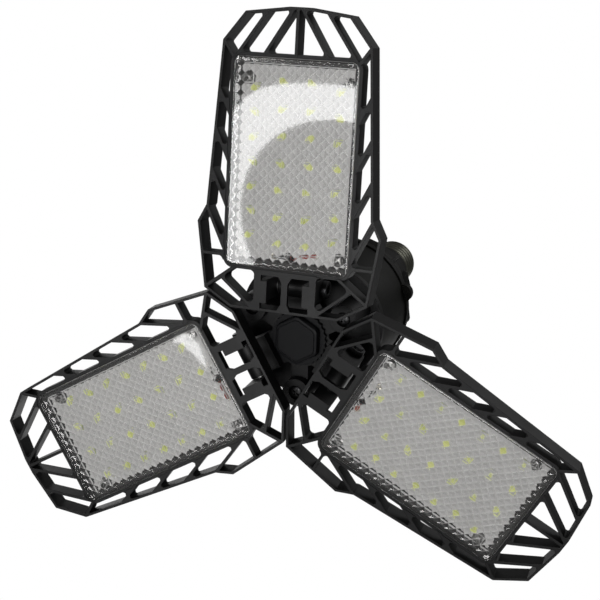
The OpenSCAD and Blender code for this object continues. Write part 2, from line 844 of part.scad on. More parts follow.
// Half of the lip's height belongs to the housing, half to the cone
lip_joint = housing_top - lip_h / 2;
lug_screw_reach = lug_reach - lug_head_r - lug_rim;
cone_foot_r = lip_r - lip_bevel - 0.4;

module at_lugs(reach) {
    rotate([0, 0, lug_turn]) at_posts(reach) children();
}

// One layer of the three lugs, on a ring that lies inside the lip
module lip_lugs(from, h) {
    translate([0, 0, from]) linear_extrude(h) difference() {
        union() {
            circle(lip_r - lug_root, $fn = 96);
            for (a = post_azimuths) rotate(a + lug_turn)
                translate([lug_reach - lip_lug_r, 0]) circle(lip_lug_r, $fn = 48);
        }
        circle(housing_r - housing_wall / 2, $fn = 96);
    }
}

// Blind holes for the screws of the lugs, through the cone's lip and into the housing's
module lug_screw_holes() {
    at_lugs(lug_screw_reach) translate([0, 0, housing_top - lip_h + lug_floor])
        cylinder(r = lug_screw_r + seat_gap / 2, h = lip_h, $fn = 32);
}

module driver_housing() {
    w = housing_wall;
    ledge = driver_seat + driver_t;
    color(hub_colour) difference() {
        union() {
            rotate_extrude($fn = 96) polygon([
                [housing_front_r, housing_front], [housing_r, housing_top - lip_h],
                [lip_r, housing_top - lip_h], [lip_r, lip_joint], [housing_r - w, lip_joint],
                [housing_r - w, ledge + ledge_h], [housing_r - w - ledge_w, ledge + ledge_h],
                [housing_r - w - ledge_w, ledge], [housing_front_r - w + ledge_slack, ledge],
                [housing_front_r - w, housing_front]]);
            lip_lugs(housing_top - lip_h, lip_h / 2);
        }
        lug_screw_holes();
    }
}

module housing_cone() {
    w = housing_wall;
    color(hub_colour) difference() {
        union() {
            rotate_extrude($fn = 96) polygon([
                [lip_r, lip_joint], [lip_r, housing_top - lip_bevel],
                [lip_r - lip_bevel, housing_top], [neck_r, cone_top], [neck_top_r, collar_foot],
                [neck_top_r - w, collar_foot], [neck_r - w, cone_top],
                [housing_r - 2 * w, housing_top - w], [housing_r - 2 * w, lip_joint - spigot_h],
                [housing_r - w - seat_gap, lip_joint - spigot_h],
                [housing_r - w - seat_gap, lip_joint]]);
            lip_lugs(lip_joint, lip_h / 2 - lip_bevel);
            // Ribs down the cone
            for (k = [0 : cone_ribs_n - 1]) rotate([90, 0, 360 * (k + 0.5) / cone_ribs_n])
                translate([0, 0, -cone_rib_t / 2]) linear_extrude(cone_rib_t) polygon([
                    [cone_foot_r - w, housing_top - 0.5], [cone_foot_r, housing_top - 0.5],
                    [cone_foot_r, housing_top + cone_rib_h * cone_h / (cone_foot_r - neck_r)],
                    [neck_r + cone_rib_h, cone_top], [neck_r - 1, cone_top + 2 * cone_rib_h],
                    [neck_r - 1, cone_top]]);
        }
        lug_screw_holes();
        // Spot faces for the heads of the lug screws
        at_lugs(lug_screw_reach) translate([0, 0, housing_top - lip_bevel])
            cylinder(r = lug_head_r + seat_gap, h = lug_head_h + 1, $fn = 32);
    }
}

module lug_screws() {
    shank = lip_h - lip_bevel - lug_floor - seat_gap;
    color(metal_colour) at_lugs(lug_screw_reach) {
        translate([0, 0, housing_top - lip_bevel - shank])
            cylinder(r = lug_screw_r, h = shank, $fn = 32);
        translate([0, 0, housing_top - lip_bevel]) cylinder(r = lug_head_r, h = lug_head_h, $fn = 32);
    }
}

module driver_board() {
    color([0.1, 0.32, 0.16]) translate([0, 0, driver_seat])
        cylinder(r = housing_r - housing_wall - 0.5 - housing_draft - seat_gap, h = driver_t);
}

// Transformer, two capacitors and a choke that stand on the driver board
module driver_parts() {
    color([0.25, 0.25, 0.28]) translate([0, 0, driver_seat]) mirror([0, 0, 1]) {
        translate([-transformer_w / 2, -transformer_w / 2, 0])
            cube([transformer_w, transformer_w, transformer_h]);
        for (a = [-capacitor_turn, capacitor_turn]) rotate([0, 0, a])
            translate([capacitor_reach, 0, 0]) cylinder(r = capacitor_r, h = capacitor_h);
        translate([-choke_reach, 0, 0]) cylinder(r = choke_r, h = choke_h);
    }
}

// ---- Screw base ----

module base_collar() {
    color([0.08, 0.08, 0.085]) {
        translate([0, 0, collar_foot]) cylinder(r1 = collar_r, r2 = collar_r - 0.8, h = collar_h);
        cylinder(r = shell_r - shell_wall - seat_gap, h = shell_h - 3);
    }
}

module screw_shell() {
    w = shell_wall;
    color(metal_colour) rotate_extrude($fn = 96) polygon([
        [shell_r, 0], [shell_r, shell_h - 1.5], [shell_r - 1.5, shell_h],
        [shell_mouth_r, shell_h], [shell_mouth_r, shell_h - w], [shell_r - 1.5 - w / 2, shell_h - w],
        [shell_r - w, shell_h - 1.5 - w / 2], [shell_r - w, 0]]);
}

module base_insulator() {
    color([0.05, 0.05, 0.06]) translate([0, 0, shell_h])
        rotate_extrude() polygon([[0, 0], [shell_mouth_r + 0.5, 0],
            [shell_mouth_r - 0.5, insulator_h * 0.5], [contact_r + 0.6, insulator_h], [0, insulator_h]]);
}

module centre_contact() {
    color([0.75, 0.72, 0.62]) translate([0, 0, shell_h + insulator_h])
        cylinder(r1 = contact_r, r2 = contact_r - 1.6, h = contact_h);
}

// ---- Choice of node ----
screw_shell();
base_insulator();
centre_contact();
base_collar();
driver_housing();
housing_cone();
housing_cover();
lug_screws();
hub_body();
lock_ring();
hex_cap();
post_screws();
driver_board();
driver_parts();
hub_grommets();
panel_frame(0);  // frame_front
panel_frame(1);  // frame_right
panel_frame(2);  // frame_left
lens(0);  // lens_front
lens(1);  // lens_right
lens(2);  // lens_left
gasket(0);  // gasket_front
gasket(1);  // gasket_right
gasket(2);  // gasket_left
light_board(0);  // light_board_front
light_board(1);  // light_board_right
light_board(2);  // light_board_left
chips(0);  // chips_front
chips(1);  // chips_right
chips(2);  // chips_left
board_screws(0);  // board_screws_front
board_screws(1);  // board_screws_right
board_screws(2);  // board_screws_left
lead_grommet(0);  // lead_grommet_front
lead_grommet(1);  // lead_grommet_right
lead_grommet(2);  // lead_grommet_left
lead_ends(0);  // lead_ends_front
lead_ends(1);  // lead_ends_right
lead_ends(2);  // lead_ends_left
hinge_bolt(0);  // hinge_bolt_front
hinge_bolt(1);  // hinge_bolt_right
hinge_bolt(2);  // hinge_bolt_left
hinge_nut(0);  // hinge_nut_front
hinge_nut(1);  // hinge_nut_right
hinge_nut(2);  // hinge_nut_left
washers(0);  // washers_front
washers(1);  // washers_right
washers(2);  // washers_left
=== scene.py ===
# %% [markdown]
# # A folding three-panel garage light
# The light screws into a lampholder and opens like a three-leaved flower. Its pieces come
# from a solid model that also holds the hinges, so every piece here is placed by that
# model and never by eye. This lesson gives the pieces their finishes, and it replaces the
# plain ones with detailed ones: prismatic lenses, light chips, screws, leads and threads.

# %% Load the fixed frame
import json
import math
from functools import partial

import bmesh
import bpy
from mathutils import Matrix, Vector


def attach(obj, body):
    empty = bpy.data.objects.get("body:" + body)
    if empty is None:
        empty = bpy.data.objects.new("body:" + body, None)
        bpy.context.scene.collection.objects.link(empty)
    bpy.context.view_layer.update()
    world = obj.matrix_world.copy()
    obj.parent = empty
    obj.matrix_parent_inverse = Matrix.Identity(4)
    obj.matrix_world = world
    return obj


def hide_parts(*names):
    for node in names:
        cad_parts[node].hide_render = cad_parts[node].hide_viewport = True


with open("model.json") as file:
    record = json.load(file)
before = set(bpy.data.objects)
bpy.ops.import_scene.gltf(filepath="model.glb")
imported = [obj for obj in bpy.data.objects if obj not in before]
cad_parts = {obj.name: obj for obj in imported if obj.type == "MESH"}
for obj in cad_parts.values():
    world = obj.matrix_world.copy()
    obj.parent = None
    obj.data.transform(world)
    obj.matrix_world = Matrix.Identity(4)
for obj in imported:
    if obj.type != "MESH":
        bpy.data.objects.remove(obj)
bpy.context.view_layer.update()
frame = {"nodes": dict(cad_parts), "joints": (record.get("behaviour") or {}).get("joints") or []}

MM = 0.001
WHITE = (1.0, 1.0, 1.0, 1.0)
PANELS = ("front", "right", "left")
nodes = frame["nodes"]

# %% [markdown]
# ## Where each panel is
# The three panels are alike, but each is tilted a little differently. A detail is drawn
# once, in a panel's own axes: along it from the hub end of its lens, across it, and back
# from the lens face. A matrix then takes it to the place of each panel. The matrix is read
# from the hinge and from the flat face of the solid lens, so it follows the solid model.

# %% Read the places of the panels
def panel_place(panel):
    """The matrix from a panel's own axes (along, across, back) to the light's axes."""
    hinge = [j for j in frame["joints"] if j["name"] == panel + "_fold"][0]
    across = -Vector(hinge["axis"]).normalized()
    lens = nodes["lens_" + panel].data
    level, downwards = 0.01, -0.9
    front = [p for p in lens.polygons
             if abs(p.normal.dot(across)) < level and p.normal.z < downwards]
    back = -max(front, key=lambda p: p.area).normal
    along = across.cross(back)
    start = min(v.co.dot(along) for v in lens.vertices)
    face = min(v.co.dot(back) for v in lens.vertices)
    place = Matrix((along, across, back)).transposed().to_4x4()
    place.translation = start * along + face * back
    return place


def size_along(node, place, axis):
    """The lowest and highest reach of a solid along one of a panel's own axes."""
    inverse = place.inverted()
    reach = [(inverse @ v.co)[axis] for v in nodes[node].data.vertices]
    return min(reach), max(reach)


places = {panel: panel_place(panel) for panel in PANELS}
lens_length = size_along("lens_front", places["front"], 0)[1]
lens_width = 2 * size_along("lens_front", places["front"], 1)[1]
skirt_depth = size_along("lens_front", places["front"], 2)[1]
chip_top, board_top = size_along("chips_front", places["front"], 2)
print(f"lens {lens_length / MM:.1f} x {lens_width / MM:.1f} mm, skirt {skirt_depth / MM:.1f} mm")
print(f"chips {chip_top / MM:.1f} mm behind the face, board {board_top / MM:.1f} mm")

# %% [markdown]
# ## The camera
# The photograph was taken from below and to one side, with a lens about as long as a
# portrait lens. The camera stands where the corners of the three lenses line up with the
# picture. It is given by where it stands from the middle of the three hinges, the way
# back from the picture, and the way that is up in it, which are easier to read than angles.

# %% Place the camera
def new_object(name, data):
    """A new object in the scene."""
    made = bpy.data.objects.new(name, data)
    bpy.context.scene.collection.objects.link(made)
    return made


hinge_middle = sum((Vector(joint["pos_m"]) for joint in frame["joints"]), Vector()) / 3
camera_at = hinge_middle + Vector((0.22634, -0.21461, -0.58853))
back_axis = Vector((0.341951, -0.294144, -0.892496)).normalized()
picture_up = Vector((-0.122929, -0.955589, 0.267839))
focal_length = 79.868
sensor_width = 36.0

right_axis = picture_up.cross(back_axis).normalized()
up_axis = back_axis.cross(right_axis)
view = Matrix((right_axis, up_axis, back_axis)).transposed().to_4x4()
view.translation = camera_at
camera = new_object("camera", bpy.data.cameras.new("camera"))
camera.data.lens = focal_length
camera.data.sensor_width = sensor_width
camera.data.clip_end = 20.0
camera.matrix_world = view
bpy.context.scene.camera = camera
print(f"camera {camera_at.length:.2f} m from the screw shell, {focal_length:.0f} mm lens")

# %% [markdown]
# ## Helpers for node trees
# A material and a Geometry Nodes tree are both made of nodes that feed each other. One
# helper adds a node, sets its options, and links or sets its inputs, so that a tree reads
# from top to bottom like a recipe. The others do sums and feed the last node.

# %% Helpers for node trees
def step(tree, kind, inputs=None, **options):
    """Adds one node. An input is a socket to link from, or a plain value."""
    added = tree.nodes.new(kind)
    for option, value in options.items():
        setattr(added, option, value)
    for key, value in (inputs or {}).items():
        if isinstance(value, bpy.types.NodeSocket):
            tree.links.new(value, added.inputs[key])
        else:
            added.inputs[key].default_value = value
    return added


def maths(tree, operation, first, second=0.0, third=0.0):
    """One Math node, and its output socket."""
    added = step(tree, "ShaderNodeMath", {0: first, 1: second, 2: third}, operation=operation)
    return added.outputs[0]


def feed(tree, node, **sockets):
    """Links outputs of other nodes into a node's named inputs."""
    for socket, value in sockets.items():
        tree.links.new(value, node.inputs[socket.replace("_", " ")])


print("node helpers ready")

# %% [markdown]
# ## Black paint, plastic and rubber
# The frames and the hub are castings under a black satin powder coat. Powder coat is never
# one flat colour: it has a fine orange-peel surface, a slow drift in its gloss, and edges
# where the coat runs thin and catches the light. Two noises make these, and a Bevel node
# rounds the sharp edges of the solids for the light, without touching their shape. The
# moulded housing and the rubber have the same kinds of unevenness, only duller and coarser,
# so one function makes them all from their own colours, grain and gloss.

# %% Tools for a finish
def finish(name, **sockets):
    """A new material: its tree and its Principled shader, with constants on the sockets."""
    made = bpy.data.materials.new(name)
    made.use_nodes = True
    shader = made.node_tree.nodes["Principled BSDF"]
    for socket, value in sockets.items():
        shader.inputs[socket.replace("_", " ")].default_value = value
    return made, made.node_tree, shader


def speckle(tree, scale, detail=3.0, roughness=0.55):
    """Noise over the object's own coordinates, as a value from 0 to 1."""
    where = step(tree, "ShaderNodeTexCoord").outputs["Object"]
    return step(tree, "ShaderNodeTexNoise", {"Vector": where, "Scale": scale, "Detail": detail,
                                             "Roughness": roughness}).outputs["Fac"]


def between(tree, value, low, high):
    """Spreads a noise value over a range."""
    return step(tree, "ShaderNodeMapRange", {"Value": value, "From Min": 0.3, "From Max": 0.7,
                                             "To Min": low, "To Max": high}).outputs["Result"]


def shades(tree, value, dark, light):
    """Mixes two colours by a noise value."""
    mixed = step(tree, "ShaderNodeMix", {"Factor": value, "A": (*dark, 1.0), "B": (*light, 1.0)},
                 data_type="RGBA")
    return mixed.outputs["Result"]


def relief(tree, height, distance, strength, **more):
    """A Bump node over a height, with its distance in millimetres, and its output."""
    return step(tree, "ShaderNodeBump", {"Height": height, "Distance": distance * MM,
                                         "Strength": strength, **more}).outputs["Normal"]


def moulded(name, dark, light, grain, bump, rough, edge=0.35, **sockets):
    """A painted or moulded finish: drifting colour and gloss, fine grain and soft edges."""
    made, tree, shader = finish(name, **sockets)
    drift = speckle(tree, 45.0)
    fine = speckle(tree, grain, 2.0)
    soft = step(tree, "ShaderNodeBevel", {"Radius": edge * MM}, samples=4).outputs["Normal"]
    feed(tree, shader, Base_Color=shades(tree, between(tree, drift, 0.0, 1.0), dark, light),
         Roughness=between(tree, drift, *rough), Normal=relief(tree, fine, bump, 0.6, Normal=soft))
    return made


print("finish tools ready")

# %% Black paint, moulded plastic and rubber
frame_paint = moulded("black_powder_coat", (0.0035, 0.0035, 0.0037), (0.008, 0.008, 0.0083),
                      1400.0, 0.03, (0.42, 0.56), Specular_IOR_Level=0.25)
# The hub's coat is darker than the frames' only as painted shade: it stands for the shadow in the
# recess between the panels.
hub_coat_with_painted_shade = moulded("black_hub_coat_painted_shade", (0.002, 0.002, 0.0022), (0.004, 0.004, 0.0042),
                    1600.0, 0.02, (0.38, 0.5), Specular_IOR_Level=0.2)
housing_plastic = moulded("black_housing_plastic", (0.003, 0.003, 0.0025), (0.006, 0.006, 0.0045),
                          900.0, 0.05, (0.5, 0.65), Specular_IOR_Level=0.15)
cap_plastic = moulded("dark_cap_plastic", (0.0035, 0.0036, 0.0042), (0.0065, 0.0067, 0.0075),
                      1800.0, 0.02, (0.45, 0.55), Specular_IOR_Level=0.12)
seal_rubber = moulded("seal_rubber", (0.016, 0.016, 0.016), (0.03, 0.03, 0.03),
                      700.0, 0.04, (0.75, 0.9))
print("paint, plastic and rubber finishes made")

# %% [markdown]
# ## Metals
# The small screws are nickel-plated steel that has dulled, the hinge bolts and the hub's
# long screws are blackened steel, and the screw shell is plated brass whose dark olive grey
# is painted shade and a painted dark reflection. Turned and plated metal shows faint streaks
# and smudges, so its gloss drifts with a stretched noise.

# %% Metals
def plated(name, dark, light, rough, streaks=260.0):
    """A plated metal with streaks across its gloss and a drift in its tone."""
    made, tree, shader = finish(name, Metallic=1.0)
    where = step(tree, "ShaderNodeTexCoord").outputs["Object"]
    stretched = step(tree, "ShaderNodeMapping", {"Vector": where, "Scale": (1.0, 1.0, 7.0)})
    streak = step(tree, "ShaderNodeTexNoise", {"Vector": stretched.outputs["Vector"],
                                               "Scale": streaks, "Detail": 4.0}).outputs["Fac"]
    smudge = between(tree, speckle(tree, 120.0), 0.0, 1.0)
    feed(tree, shader, Base_Color=shades(tree, smudge, dark, light),
         Roughness=between(tree, streak, *rough), Normal=relief(tree, streak, 0.01, 0.3))
    return made


screw_steel = plated("nickel_plated_steel", (0.16, 0.16, 0.16), (0.28, 0.28, 0.275), (0.3, 0.45))
dark_steel = plated("blackened_screw_steel", (0.02, 0.02, 0.021), (0.05, 0.05, 0.051), (0.35, 0.5))
bolt_steel = plated("blackened_steel", (0.03, 0.03, 0.032), (0.07, 0.07, 0.072), (0.3, 0.5))
# The shell's dark olive grey is painted shade and a painted dark reflection of its surround.
shell_metal_painted_shade = plated("plated_shell_painted_shade", (0.1, 0.1, 0.08), (0.17, 0.17, 0.14), (0.3, 0.45))
contact_metal = plated("soldered_contact", (0.45, 0.42, 0.36), (0.6, 0.57, 0.5), (0.3, 0.5))
print("metal finishes made")

# %% [markdown]
# ## Light board, chips and leads
# The board is white solder mask on aluminium. Copper tracks lie under the mask and show as
# slightly raised, slightly brighter lanes. A chip is a pale case round a pad of yellow
# phosphor. The case's yellow-green tint is painted light, the phosphor's yellow light falling
# on it. The leads are soft plastic, red and black.

# %% Light board, chips and leads
def board_finish():
    """White solder mask whose tracks are the far parts of stretched square cells."""
    made, tree, shader = finish("white_solder_mask", Specular_IOR_Level=0.5)
    where = step(tree, "ShaderNodeTexCoord").outputs["Object"]
    lanes = step(tree, "ShaderNodeTexVoronoi", {
        "Vector": where, "Scale": 95.0, "Randomness": 0.35},
        distance="CHEBYCHEV", feature="F1").outputs["Distance"]
    track = step(tree, "ShaderNodeMapRange", {
        "Value": lanes, "From Min": 0.38, "From Max": 0.42}).outputs["Result"]
    tone = maths(tree, "MULTIPLY_ADD", track, 0.35, between(tree, speckle(tree, 240.0), 0.0, 0.6))
    feed(tree, shader, Base_Color=shades(tree, tone, (0.52, 0.52, 0.525), (0.6, 0.6, 0.605)),
         Roughness=between(tree, speckle(tree, 60.0), 0.3, 0.42),
         Normal=relief(tree, track, 0.04, 0.5))
    return made


board_white = board_finish()
# The case's yellow-green tint is painted light from the phosphor.
chip_case_with_painted_light = moulded("pale_chip_case", (0.74, 0.8, 0.42), (0.88, 0.92, 0.58), 2500.0, 0.01,
                    (0.35, 0.45), edge=0.08)
chip_phosphor = moulded("yellow_phosphor", (0.6, 0.66, 0.16), (0.86, 0.9, 0.34), 3500.0, 0.02,
                        (0.3, 0.5), edge=0.05)
lead_red = moulded("red_lead_plastic", (0.26, 0.035, 0.025), (0.36, 0.05, 0.035), 900.0, 0.01,
                   (0.35, 0.5), edge=0.05)
lead_black = moulded("black_lead_plastic", (0.02, 0.02, 0.02), (0.03, 0.03, 0.03), 900.0, 0.01,
                     (0.35, 0.5), edge=0.05)
laminate = moulded("driver_laminate", (0.03, 0.14, 0.05), (0.05, 0.19, 0.08), 800.0, 0.02,
                   (0.35, 0.5))
casings = moulded("driver_casings", (0.05, 0.05, 0.06), (0.09, 0.09, 0.1), 700.0, 0.03, (0.4, 0.6))
shell_glass = moulded("black_glass_insulator", (0.008, 0.008, 0.01), (0.014, 0.014, 0.018), 300.0,
                      0.02, (0.08, 0.16), edge=0.2)
print("board, chip and lead finishes made")

# %% [markdown]
# ## Clear lens plastic
# The lens is clear polycarbonate. It bends light as it should, so the chips behind it break
# up a little. Light that only passes through it on its way to or from the board would need
# far more samples, so for shadow and diffuse rays the plastic counts as plainly clear. The
# valleys between the prisms are rounded by the mould, and their fine pale lines are painted
# highlights: there the plastic is frosted white. The mesh marks them with an attribute called
# valley, 1 along a valley and 0 on a tip, and where it is high less light is let through and
# more of the white frost shows.

# %% Clear lens plastic
def lens_finish():
    """Clear plastic with smudges and a faint tint, frosted white as painted highlight where the
    mesh says so.
    """
    made, tree, shader = finish("clear_lens_plastic", IOR=1.56, Transmission_Weight=1.0,
                                Specular_IOR_Level=0.5)
    valley = step(tree, "ShaderNodeAttribute", attribute_name="valley").outputs["Fac"]
    # Where valley is high the clear plastic gives way to white frost: a painted highlight
    painted_highlight_start, painted_highlight_gain = 0.75, 1.2
    clear_part = step(tree, "ShaderNodeMath", {0: valley, 1: -painted_highlight_gain,
                                               2: 1 + painted_highlight_gain * painted_highlight_start},
                      operation="MULTIPLY_ADD", use_clamp=True).outputs[0]
    tint = shades(tree, between(tree, speckle(tree, 30.0), 0.0, 1.0), (0.965, 0.96, 0.955),
                  (0.99, 0.985, 0.98))
    feed(tree, shader, Base_Color=tint, Transmission_Weight=clear_part,
         Roughness=between(tree, speckle(tree, 22.0, 5.0), 0.012, 0.04))
    path = step(tree, "ShaderNodeLightPath").outputs
    passing = maths(tree, "MAXIMUM", path["Is Shadow Ray"], path["Is Diffuse Ray"])
    clear = step(tree, "ShaderNodeBsdfTransparent", {"Color": (0.85, 0.845, 0.835, 1.0)})
    mixed = step(tree, "ShaderNodeMixShader", {0: passing, 1: shader.outputs["BSDF"],
                                               2: clear.outputs["BSDF"]})
    feed(tree, tree.nodes["Material Output"], Surface=mixed.outputs["Shader"])
    return made


lens_clear = lens_finish()
print("lens finish made")

# %% [markdown]
# ## Finishes for the solids that stay
# The frames, the hub, the housing and the boards already have the right shape, so they only
# need their finish. It goes into each solid's one material slot, and the mesh is left as it
# came. The solids that are replaced later get theirs too, which costs nothing.

# %% Give the solids their finishes
SOLID_FINISHES = {
    "frame_": frame_paint, "hub_body": hub_coat_with_painted_shade, "housing_cover": hub_coat_with_painted_shade,
    "driver_housing": housing_plastic, "housing_cone": housing_plastic,
    "base_collar": housing_plastic, "lock_ring": cap_plastic, "hex_cap": cap_plastic,
    "post_screws": dark_steel, "lug_screws": screw_steel, "hub_grommets": seal_rubber,
    "driver_board": laminate, "driver_parts": casings, "screw_shell": shell_metal_painted_shade,
    "base_insulator": shell_glass, "centre_contact": contact_metal, "lens_": lens_clear,
    "gasket_": seal_rubber, "light_board_": board_white, "chips_": chip_phosphor,
    "board_screws_": screw_steel, "lead_grommet_": seal_rubber, "lead_ends_": lead_red,
    "hinge_bolt_": bolt_steel, "hinge_nut_": bolt_steel, "washers_": screw_steel,
}
for name, solid in nodes.items():
    stem = [key for key in SOLID_FINISHES if name.startswith(key)][0]
    solid.data.materials.clear()
    solid.data.materials.append(SOLID_FINISHES[stem])
print(len(nodes), "solids have their finish")

# %% [markdown]
# ## Helpers for detailed pieces
# A replaced piece has to be drawn in a panel's own axes, taken to its place, and tied to
# its body. Its object stays at the origin with its place in its mesh, so that the grain of
# its finish sits still on it. These helpers do that, and they read where the solids' small
# parts are, so that a screw or a chip sits where its solid does.

# %% Helpers for detailed pieces
def separate_parts(node, place=Matrix()):
    """The corners (lowest, highest) of each separate part of a solid, in a panel's own axes."""
    same_point = 0.001 * MM
    shape = bmesh.new()
    shape.from_mesh(nodes[node].data)
    bmesh.ops.remove_doubles(shape, verts=shape.verts, dist=same_point)
    bmesh.ops.transform(shape, matrix=place.inverted(), verts=shape.verts)
    waiting, parts = set(shape.verts), []
    while waiting:
        reached = [waiting.pop()]
        part = []
        while reached:
            vert = reached.pop()
            part.append(vert.co.copy())
            for edge in vert.link_edges:
                other = edge.other_vert(vert)
                if other in waiting:
                    waiting.remove(other)
                    reached.append(other)
        corners = [(min(c[k] for c in part), max(c[k] for c in part)) for k in range(3)]
        parts.append((Vector(c[0] for c in corners), Vector(c[1] for c in corners)))
    shape.free()
    return sorted(parts, key=lambda part: tuple(round(x, 5) for x in part[0]))


def mesh_of(shape, name, *materials):
    """Turns a bmesh with outward faces into a mesh that has its finishes."""
    bmesh.ops.recalc_face_normals(shape, faces=shape.faces)
    mesh = bpy.data.meshes.new(name)
    shape.to_mesh(mesh)
    shape.free()
    for material in materials:
        mesh.materials.append(material)
    return mesh


def rounded(mesh, degrees=35.0):
    """Shades a mesh smooth, apart from its edges sharper than an angle."""
    mesh.shade_smooth()
    mesh.set_sharp_from_angle(angle=math.radians(degrees))
    return mesh


def fit_piece(name, mesh, body, node, place=None):
    """Puts a drawn piece on its body, in the place of the solid that it stands for."""
    if place is not None:
        mesh.transform(place)
    piece = new_object(name, mesh)
    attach(piece, body)
    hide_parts(node)


chip_parts = separate_parts("chips_front", places["front"])
print(len(chip_parts), "chips on a board, the first at",
      [round(x / MM, 1) for x in (chip_parts[0][0] + chip_parts[0][1]) / 2], "mm")

# %% [markdown]
# ## Running a Geometry Nodes tree
# Geometry Nodes are good at what repeats: one tree with named sizes makes every copy. A
# modifier keeps its inputs under each socket's identifier, so the helper looks that up from
# the name. It then evaluates the modifier once and keeps only the plain mesh, because a
# piece that leaves this file has to be a mesh that needs nothing else.

# %% Running a Geometry Nodes tree
def new_tree(name, **inputs):
    """A tree with a geometry input and output, and one named input for each size."""
    tree = bpy.data.node_groups.new(name, "GeometryNodeTree")
    tree.interface.new_socket("Geometry", in_out="INPUT", socket_type="NodeSocketGeometry")
    for label, kind in inputs.items():
        tree.interface.new_socket(label, in_out="INPUT", socket_type="NodeSocket" + kind)
    tree.interface.new_socket("Geometry", in_out="OUTPUT", socket_type="NodeSocketGeometry")
    return tree, tree.nodes.new("NodeGroupInput").outputs


def end_tree(tree, geometry, material):
    """Ends a tree in real geometry with its material."""
    real = step(tree, "GeometryNodeRealizeInstances", {"Geometry": geometry}).outputs[0]
    dressed = step(tree, "GeometryNodeSetMaterial", {"Geometry": real, "Material": material})
    step(tree, "NodeGroupOutput", {0: dressed.outputs[0]})


def plain_mesh(holder):
    """The mesh that an object has after its modifiers."""
    view_layer = bpy.context.evaluated_depsgraph_get()
    return bpy.data.meshes.new_from_object(holder.evaluated_get(view_layer))


def grow(tree, mesh, **inputs):
    """Runs a tree on a mesh with its inputs set by identifier, and returns a plain mesh."""
    holder = new_object("holder", mesh)
    modifier = holder.modifiers.new("tree", "NODES")
    modifier.node_group = tree
    names = {item.name: item.identifier for item in tree.interface.items_tree
             if item.in_out == "INPUT"}
    for label, value in inputs.items():
        modifier[names[label]] = value
    made = plain_mesh(holder)
    bpy.data.objects.remove(holder)
    return made


print("tree helpers ready")

# %% [markdown]
# ## The prism sheet of a lens
# The inside of each lens is moulded with rows of small square pyramids that stand on their
# corners. They break the view of each chip into a star and spread its light. On a grid of
# half steps every second point is a tip and the points between are valleys, so one rule
# gives the whole sheet. Each grid square then has to be split from valley to valley, and
# which diagonal that is changes like the squares of a chessboard.

# %% The tree of the prism sheet
def prism_tree():
    """A grid with its tips lifted, its valleys marked and its squares split."""
    tree, given = new_tree("prism_sheet", Length="Float", Width="Float", Steps_Along="Int",
                           Steps_Across="Int", Height="Float", Material="Material")
    calc = partial(maths, tree)
    # A half keeps a rounding error from changing a whole number
    half = 0.5
    across = calc("ADD", given["Steps_Across"], 1.0)
    grid = step(tree, "GeometryNodeMeshGrid", {
        "Size X": given["Length"], "Size Y": given["Width"],
        "Vertices X": calc("ADD", given["Steps_Along"], 1.0), "Vertices Y": across})
    index = step(tree, "GeometryNodeInputIndex").outputs[0]

    def chessboard(in_a_row):
        """The row and column of a point or square, and 1 where their sum is odd."""
        row = calc("FLOOR", calc("DIVIDE", calc("ADD", index, half), in_a_row))
        column = calc("FLOORED_MODULO", index, in_a_row)
        return row, column, calc("FLOORED_MODULO", calc("ADD", row, column), 2.0)

    def store(geometry, name, value, data_type, domain):
        """Keeps a value on each point or face, under a name."""
        return step(tree, "GeometryNodeStoreNamedAttribute", {
            "Geometry": geometry, "Name": name, "Value": value},
            data_type=data_type, domain=domain).outputs[0]

    # Which point of the grid this is, and whether it is a tip inside the edge
    row, column, odd = chessboard(across)
    edge_row = calc("MULTIPLY", row, calc("SUBTRACT", given["Steps_Along"], row))
    edge_column = calc("MULTIPLY", column, calc("SUBTRACT", given["Steps_Across"], column))
    inside = calc("GREATER_THAN", calc("MULTIPLY", edge_row, edge_column), half)
    tip = calc("MULTIPLY", inside, calc("SUBTRACT", 1.0, odd))
    lift = step(tree, "ShaderNodeCombineXYZ", {"Z": calc("MULTIPLY", tip, given["Height"])})
    raised = step(tree, "GeometryNodeSetPosition", {
        "Geometry": grid.outputs["Mesh"], "Offset": lift.outputs[0]})
    # The valleys inside the edge are marked, for the finish to show them as fine pale lines of
    # painted highlight
    lined = store(raised.outputs[0], "valley", calc("MULTIPLY", inside, odd), "FLOAT", "POINT")
    # Which way each square of the grid is split
    light_square = calc("LESS_THAN", chessboard(given["Steps_Across"])[2], half)
    sheet = store(lined, "light_square", light_square, "BOOLEAN", "FACE")
    for method, wanted in (("FIXED_ALTERNATE", True), ("FIXED", False)):
        stored = step(tree, "GeometryNodeInputNamedAttribute", {"Name": "light_square"},
                      data_type="BOOLEAN").outputs["Attribute"]
        other = step(tree, "FunctionNodeBooleanMath", {0: stored}, operation="NOT").outputs[0]
        sheet = step(tree, "GeometryNodeTriangulate", {
            "Mesh": sheet, "Selection": stored if wanted else other},
            quad_method=method).outputs[0]
    end_tree(tree, sheet, given["Material"])
    return tree


prisms = prism_tree()
print("prism tree:", len(prisms.nodes), "nodes")

# %% The prism sheet
prism_height = 0.52 * MM
prism_steps = (42, 26)
prism_margin = 0.9 * MM
sheet_size = (lens_length - 2 * prism_margin, lens_width - 2 * prism_margin)
prism_sheet = grow(prisms, bpy.data.meshes.new("empty"), Length=sheet_size[0],
                   Width=sheet_size[1], Steps_Along=prism_steps[0], Steps_Across=prism_steps[1],
                   Height=prism_height, Material=lens_clear)
tips = [sum(prism_sheet.vertices[v].co.z > prism_height / 2 for v in face.vertices)
        for face in prism_sheet.polygons]
print(len(prism_sheet.polygons), "faces, with at most", max(tips), "tip each")

# %% [markdown]
# ## Skins from loops
# Most of the pieces that are left are mouldings or turned parts, so a few closed loops tell
# their whole shape, as the rings of a barrel do. One helper sets the loops' points and joins
# each loop to the next. Loops that join have to have the same count of points.

